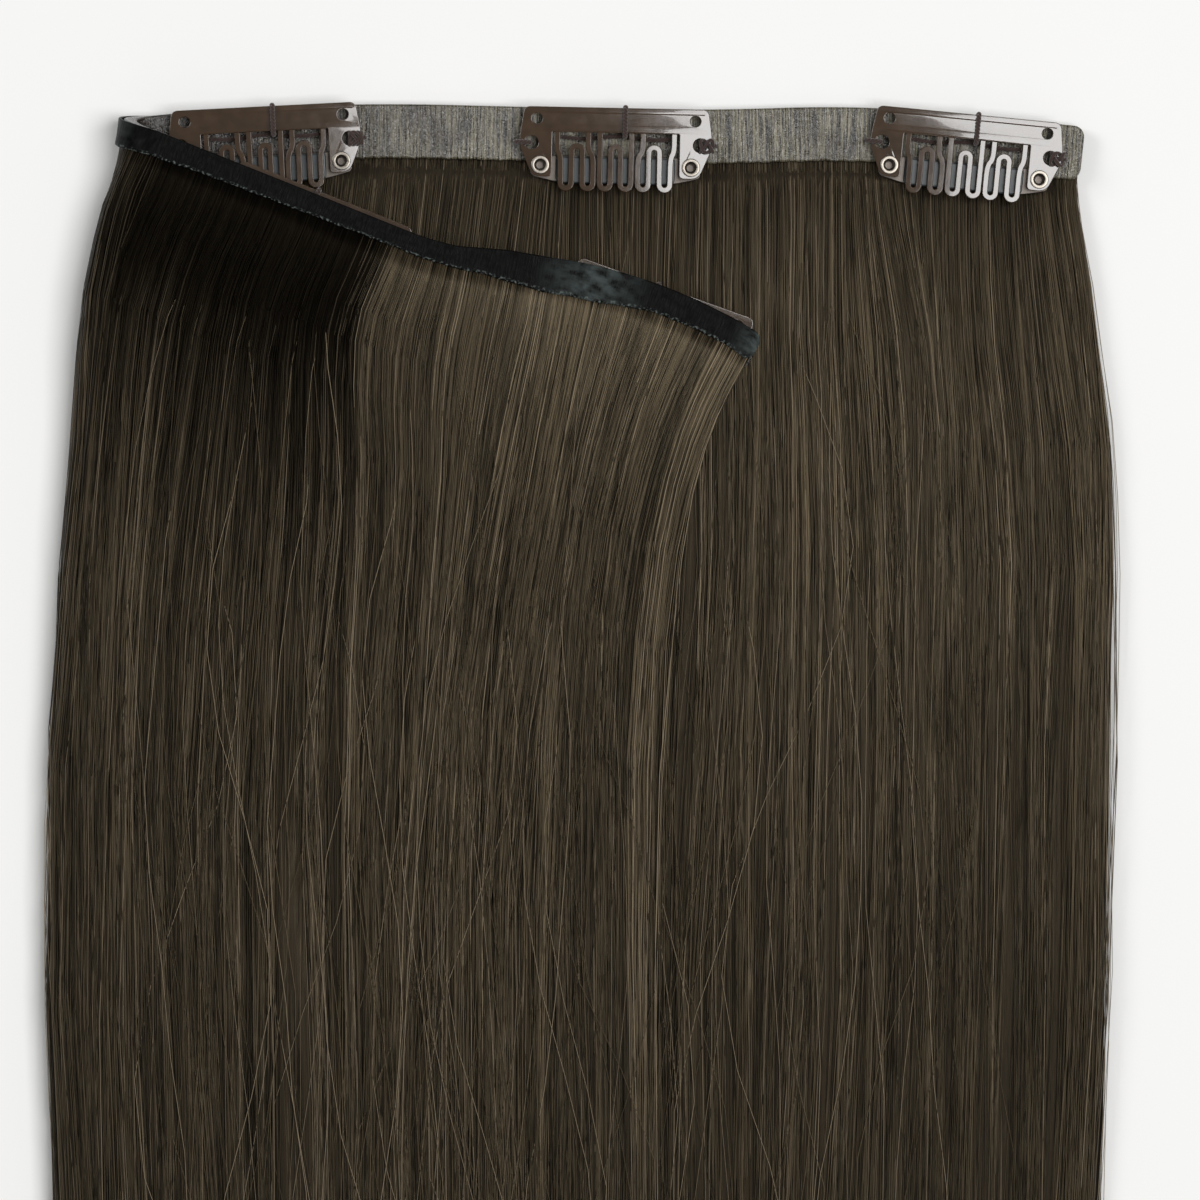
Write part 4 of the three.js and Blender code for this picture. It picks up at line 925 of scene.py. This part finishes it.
plate_points, plate_faces = stamped([plate_outline, *plate_holes], PLATE_LOW, PLATE_TOP, PLATE_EDGE)
for number, _, _ in CLIPS:
    points = on_clip(number, arched(number, plate_points))
    plate = new_piece(f"clip_{number}_spine", points, plate_faces, enamel)
    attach(plate, "weft")
    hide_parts(f"clip_{number}_plate")

# Combs. Six teeth are cut from the same enamelled sheet as three bent strands, each down one tooth,
# over the bend between and down the next. On the clips that lie open to view they stay unattached.
STRAND_WIDTH = 0.95 * MM
WINDOW = 1.8 * MM
JOG_TOP, JOG_HEIGHT = 3 * MM, 1 * MM
BEND = 0.088
COMB_GROUPS = [
    # name, root, tooth, next tooth, its root: shares of half the comb's width
    ("left", -0.953, -0.804, -0.451, -0.446),
    ("mid", -0.257, -0.167, 0.167, 0.257),
    ("right", 0.446, 0.451, 0.804, 0.953),
]
TOOTH_HOLD = 0.03 * MM  # the teeth's faces stay flat to within this of their edges
COMB_ROOT = -SPINE_HEIGHT + 0.1 * MM
HINGE = (COMB_ROOT, COMB_ROOT - 1 * MM)  # where the sheet bends, top and low end
BURIED = 0.012 * MM  # the strands' faces lie this far under the spine's where they run into it


def half_turn(x, y, radius, start, end):
    """Points of an arc about a middle, from one angle to another."""
    angle = np.linspace(start, end, 9)
    return np.stack([x + radius * np.cos(angle), y + radius * np.sin(angle)], 1)


def softened(line, rounds=2):
    """Cuts a line's corners: each side gives the points a quarter and three quarters along it."""
    for _ in range(rounds):
        a, b = line[:-1], line[1:]
        inner = np.stack([0.75 * a + 0.25 * b, 0.25 * a + 0.75 * b], 1).reshape(-1, 2)
        line = np.vstack([line[:1], inner, line[-1:]])
    return line


def comb_strand(root_a, tooth_a, tooth_b, root_b):
    """The strand's middle line given a rounded section: each point moves square to the line by the
    section's breadth and up by its height."""
    half = COMB_WIDTH / 2
    bend = BEND * half
    x0, x1, x2, x3 = (share * half for share in (root_a, tooth_a, tooth_b, root_b))
    tip = -COMB_HEIGHT + STRAND_WIDTH / 2 + bend
    over = (x2 - x1) / 2 - bend
    crown = -SPINE_HEIGHT - WINDOW - STRAND_WIDTH / 2 - over
    jog = -SPINE_HEIGHT - JOG_TOP
    line = softened(np.vstack([
        [(x0, COMB_ROOT), (x0, jog), (x1 - bend, jog - JOG_HEIGHT)],
        half_turn(x1, tip, bend, np.pi, 2 * np.pi),
        half_turn((x1 + x2) / 2, crown, over, np.pi, 0),
        half_turn(x2, tip, bend, np.pi, 2 * np.pi),
        [(x2 + bend, jog - JOG_HEIGHT), (x3, jog), (x3, COMB_ROOT)],
    ]))
    ahead = np.gradient(line, axis=0)
    square = np.stack([-ahead[:, 1], ahead[:, 0]], 1) / np.linalg.norm(ahead, axis=1, keepdims=True)
    w, h = STRAND_WIDTH / 2, SHEET - 2 * BURIED
    section = rounded([(x, y, PLATE_EDGE) for x, y in ((-w, 0), (w, 0), (w, h), (-w, h))], 2)
    section = held(section, TOOTH_HOLD)
    plan = line[:, None] + section[None, :, :1] * square[:, None]
    height = np.broadcast_to(section[None, :, 1:] + PLATE_LOW + BURIED, (*plan.shape[:2], 1))
    points = np.concatenate([plan, height], -1)
    return points, [grid_faces(*points.shape[:2]), *end_caps(*points.shape[:2])]


for number, _, _ in CLIPS:
    for label, *places in COMB_GROUPS:
        points, faces = comb_strand(*places)
        points = on_clip(number, arched(number, points))
        comb = new_piece(f"clip_{number}_teeth_{label}", points, faces, enamel)
        if number in FLEXING:
            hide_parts(f"clip_{number}_comb_{label}")
            start, end = (on_clip(number, np.array((0, y, PLATE_LOW))) for y in HINGE)
            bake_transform(comb)
        else:
            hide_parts(f"clip_{number}_plate")
            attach(comb, "weft")

# Bars. Each clip's back frame is a steel strip that runs under the teeth from leg to leg, with a
# raised seat at each end that the leg is riveted to.
BAR_HEIGHT, BAR_DROP, BAR_WALL = 4.4 * MM, 8 * MM, 0.5 * MM
LUG_RADIUS = 1.7 * MM
SEAT = 0.15 * MM
BAR_LOW = FIT
GRIP_WIDTH = 19.8 * MM


def turned(profile, x, y, sides=24):
    """A profile of (radius, height) turned about an upright axis, one full turn."""
    angle = np.linspace(0, 2 * np.pi, sides, endpoint=False)[:, None]
    radius, height = profile[None, :, 0], profile[None, :, 1]
    points = np.stack([x + radius * np.cos(angle), y + radius * np.sin(angle), height + 0 * angle], -1)
    return points, grid_faces(*points.shape[:2], close_rows=True)


# Cold-rolled steel strip, chemically darkened: metallic, half dull, with rolling marks
steel = mottled(
    "darkened_steel_strip", "5A5450", {"Metallic": 0.85},
    (4 * MM, 0.3 * MM, 0.3 * MM), ("4A4541", "6E6761"), gloss=(0.28, 0.5),
)

bar_end = RIVET_HOLE[0] + LUG_RADIUS
bar_corners = mirrored([
    (bar_end, -BAR_DROP, LUG_RADIUS),
    (bar_end, -RIVET_HOLE[1] - LUG_RADIUS, LUG_RADIUS / 2),
    (GRIP_WIDTH / 2, -BAR_DROP - BAR_HEIGHT, LUG_RADIUS / 2),
])
bar_points, bar_faces = stamped([rounded(bar_corners)[::-1]], BAR_LOW, BAR_LOW + BAR_WALL, 0.12 * MM)
lug_high = PLATE_LOW - SEAT
lug_profile = rounded([
    (RIVET_HOLE[2], BAR_LOW + 0.1 * MM, 0.05 * MM),
    (LUG_RADIUS, BAR_LOW + 0.1 * MM, 0.1 * MM),
    (LUG_RADIUS, lug_high, 0.15 * MM),
    (RIVET_HOLE[2], lug_high, 0.05 * MM),
], 4)
for side in (-1, 1):
    lug_points, lug_faces = turned(lug_profile, side * RIVET_HOLE[0], -RIVET_HOLE[1])
    bar_faces = [*bar_faces, lug_faces[:, ::-1] + len(bar_points)]
    bar_points = np.vstack([bar_points, lug_points.reshape(-1, 3)])
for number, _, _ in CLIPS:
    bar = new_piece(f"clip_{number}_back_bar", on_clip(number, bar_points), bar_faces, steel)
    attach(bar, "weft")
    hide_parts(f"clip_{number}_bar")

# Grips. A smooth silicone sleeve on the middle of each bar, which the teeth press the wearer's own
# hair against.
GRIP_WALL, GRIP_DROP, GRIP_CORNER = 0.6 * MM, 0.2 * MM, 0.5 * MM
GRIP_LOW = BAR_LOW + BAR_WALL + FIT

# Moulded silicone: slate, soft gloss, with dust-fine mottling
silicone = mottled(
    "moulded_silicone", "465052", {"IOR": 1.42},
    (0.8 * MM,) * 3, ("30363A", "4A5356"), gloss=(0.2, 0.42),
)

grip_top = -BAR_DROP - GRIP_DROP
grip_corners = mirrored([
    (GRIP_WIDTH / 2, grip_top, GRIP_CORNER),
    (GRIP_WIDTH / 2, grip_top - BAR_HEIGHT, 2 * GRIP_CORNER),
])
grip_points, grip_faces = stamped([rounded(grip_corners)[::-1]], GRIP_LOW, GRIP_LOW + GRIP_WALL, 0.25 * MM)
for number, _, _ in CLIPS:
    grip = new_piece(f"clip_{number}_sleeve", on_clip(number, grip_points), grip_faces, silicone)
    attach(grip, "weft")
    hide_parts(f"clip_{number}_grip")

# Eyelets. Hollow nickel-plated rivets through leg and bar, their upper lips rolled over the plate.
SHANK, BORE, FLANGE, LIP = 1 * MM, 0.6 * MM, 1.55 * MM, 0.3 * MM
MOUTH = 0.95 * MM
FLANGE_LOW = PLATE_TOP + SEAT

# Nickel plate on brass: bright warm grey metal, near mirror
nickel = mottled(
    "nickel_plate", "B9B4AC", {"Metallic": 1.0},
    (0.5 * MM,) * 3, ("6F6961", "9A948B"), gloss=(0.2, 0.4), detail=4,
)

rivet_profile = rounded([
    (BORE, BAR_LOW, 0.1 * MM),
    (SHANK, BAR_LOW, 0.1 * MM),
    (SHANK, FLANGE_LOW, 0.05 * MM),
    (FLANGE, FLANGE_LOW, 0.14 * MM),
    (FLANGE, FLANGE_LOW + LIP, 0.15 * MM),
    (MOUTH, FLANGE_LOW + LIP, 0.12 * MM),
    (BORE, PLATE_LOW - LIP, 0.3 * MM),
], 5)
for number, _, _ in CLIPS:
    for side, label in ((-1, "left"), (1, "right")):
        points, faces = turned(rivet_profile, side * RIVET_HOLE[0], -RIVET_HOLE[1])
        eyelet = new_piece(f"clip_{number}_eyelet_{label}", on_clip(number, points), [faces], nickel)
        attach(eyelet, "weft")
        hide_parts(f"clip_{number}_rivet_{label}")

# Stitches. Two-ply polyester sewing thread in dark brown, a loop at each ear and one over the spine,
# with a knot at the right ear and the running end behind the spine.
THREAD = 0.35 * MM
PLY_RADIUS, PLY_OFFSET, PLY_PITCH = 0.25 * MM, 0.2 * MM, 1.2 * MM
KNOT_RADIUS, KNOT_FLAT = 1.05 * MM, 0.55 * MM
MID_STITCH = 1.5 * MM
THREAD_LOW = FIT + THREAD
THREAD_HIGH = PLATE_TOP + SEAT + THREAD

# Spun polyester thread: dull reddish brown, fuzzy
spun = mottled(
    "spun_polyester_thread", "3E261C", {"Roughness": 0.85, "Sheen Weight": 0.4},
    (0.15 * MM,) * 3, ("140A06", "3F261B"), bump=(0.05 * MM, 0.8),
)


def twisted(line, reference, closed):
    """Two plies wound about a line: each runs at an offset that turns once for each pitch of length."""
    step = np.linalg.norm(np.roll(line, -1, axis=0) - line, axis=1)
    run = np.concatenate([[0], np.cumsum(step)[:-1]])
    whole = step.sum() if closed else run[-1]
    turns = max(round(whole / PLY_PITCH), 1)
    if closed:
        heading = np.roll(line, -1, axis=0) - np.roll(line, 1, axis=0)
    else:
        heading = np.gradient(line, axis=0)
    heading /= np.linalg.norm(heading, axis=1, keepdims=True)
    side = np.cross(heading, reference)
    side /= np.linalg.norm(side, axis=1, keepdims=True)
    rise = np.cross(side, heading)
    angle = (2 * np.pi * turns * run / whole)[:, None]
    plies = [angle, angle + np.pi]
    return np.stack([line + PLY_OFFSET * (np.cos(a) * side + np.sin(a) * rise) for a in plies])


def evenly(line, count):
    """A closed line's points again, at equal lengths along it."""
    ring = np.vstack([line, line[:1]])
    run = np.concatenate([[0], np.cumsum(np.linalg.norm(np.diff(ring, axis=0), axis=1))])
    at = np.linspace(0, run[-1], count, endpoint=False)
    return np.stack([np.interp(at, run, ring[:, i]) for i in range(ring.shape[1])], 1)


def stitch(number, name, plane_line, plane):
    """A closed stitch: a line in a plane of the clip's frame, twisted and made two tubes."""
    line = plane(plane_line)
    across = np.cross(line[1] - line[0], line[len(line) // 4] - line[0])
    plies = twisted(line, across / np.linalg.norm(across), True)
    origin, axes = clip_frames[number]
    reference = (across / np.linalg.norm(across)) @ axes
    radii = np.full(plies.shape[:2], PLY_RADIUS)
    piece = tubes(name, on_clip(number, plies), radii, 6, spun, reference, closed=True)
    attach(piece, "weft")
    return piece


def loop_outline(near, far, low, high, count):
    """A rectangle with well rounded corners, as even points."""
    cut = 0.8 * MM
    corners = ((near, low), (far, low), (far, high), (near, high))
    return evenly(rounded([(x, y, cut) for x, y in corners], 8), count)


for number, _, _ in CLIPS:
    for side, label in ((-1, "left"), (1, "right")):
        near, far = SEWING_HOLE[0] + THREAD, CLIP_WIDTH / 2 + SEAT + THREAD
        outline = loop_outline(near, far, THREAD_LOW, THREAD_HIGH + 0.1 * MM, 72)
        loop = stitch(
            number, f"clip_{number}_thread_{label}", outline,
            lambda flat: np.stack([side * flat[:, 0], np.full(len(flat), -SEWING_HOLE[1]), flat[:, 1]], 1),
        )
        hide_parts(f"clip_{number}_stitch_{label}")
    near, far = -0.3 * THREAD, SPINE_HEIGHT + SEAT + THREAD
    outline = loop_outline(near, far, THREAD_LOW, THREAD_HIGH + ARCHES[number], 110)
    loop = stitch(
        number, f"clip_{number}_thread_mid", outline,
        lambda flat: np.stack([np.full(len(flat), MID_STITCH), -flat[:, 0], flat[:, 1]], 1),
    )
    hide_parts(f"clip_{number}_stitch_mid")

    # The knot crosses itself as sines of three, four and five turns do. The running end lies on the
    # skin behind the spine.
    t = np.linspace(0, 2 * np.pi, 260, endpoint=False)
    ball = np.stack([np.sin(3 * t + 0.7 + number), np.sin(4 * t + 2.2), np.sin(5 * t + 0.3 * number)], 1)
    height = PLATE_TOP + SEAT + KNOT_FLAT + PLY_RADIUS
    middle = np.array((SEWING_HOLE[0] + 1.1 * MM, -SEWING_HOLE[1] - 0.1 * MM, height))
    knot_line = middle + ball * (KNOT_RADIUS, KNOT_RADIUS, KNOT_FLAT)
    knot = tubes(
        f"clip_{number}_knot", on_clip(number, knot_line[None]), np.full((1, len(t)), PLY_RADIUS), 6, spun,
        np.array((0.2, 0.3, 0.93)), closed=True,
    )
    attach(knot, "weft")
    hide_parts(f"clip_{number}_stitch_right")
    t = np.linspace(0, 1, 60)
    end_line = np.stack([
        (-9 + 18 * t) * MM,
        -SPINE_HEIGHT - (0.7 + 0.25 * np.sin(9 * t)) * MM,
        np.full(60, FIT + PLY_RADIUS + PLY_OFFSET),
    ], 1)
    plies = twisted(end_line, UP, False)
    end = tubes(
        f"clip_{number}_running_thread", on_clip(number, plies), np.full(plies.shape[:2], PLY_RADIUS), 6, spun
    )
    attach(end, "weft")
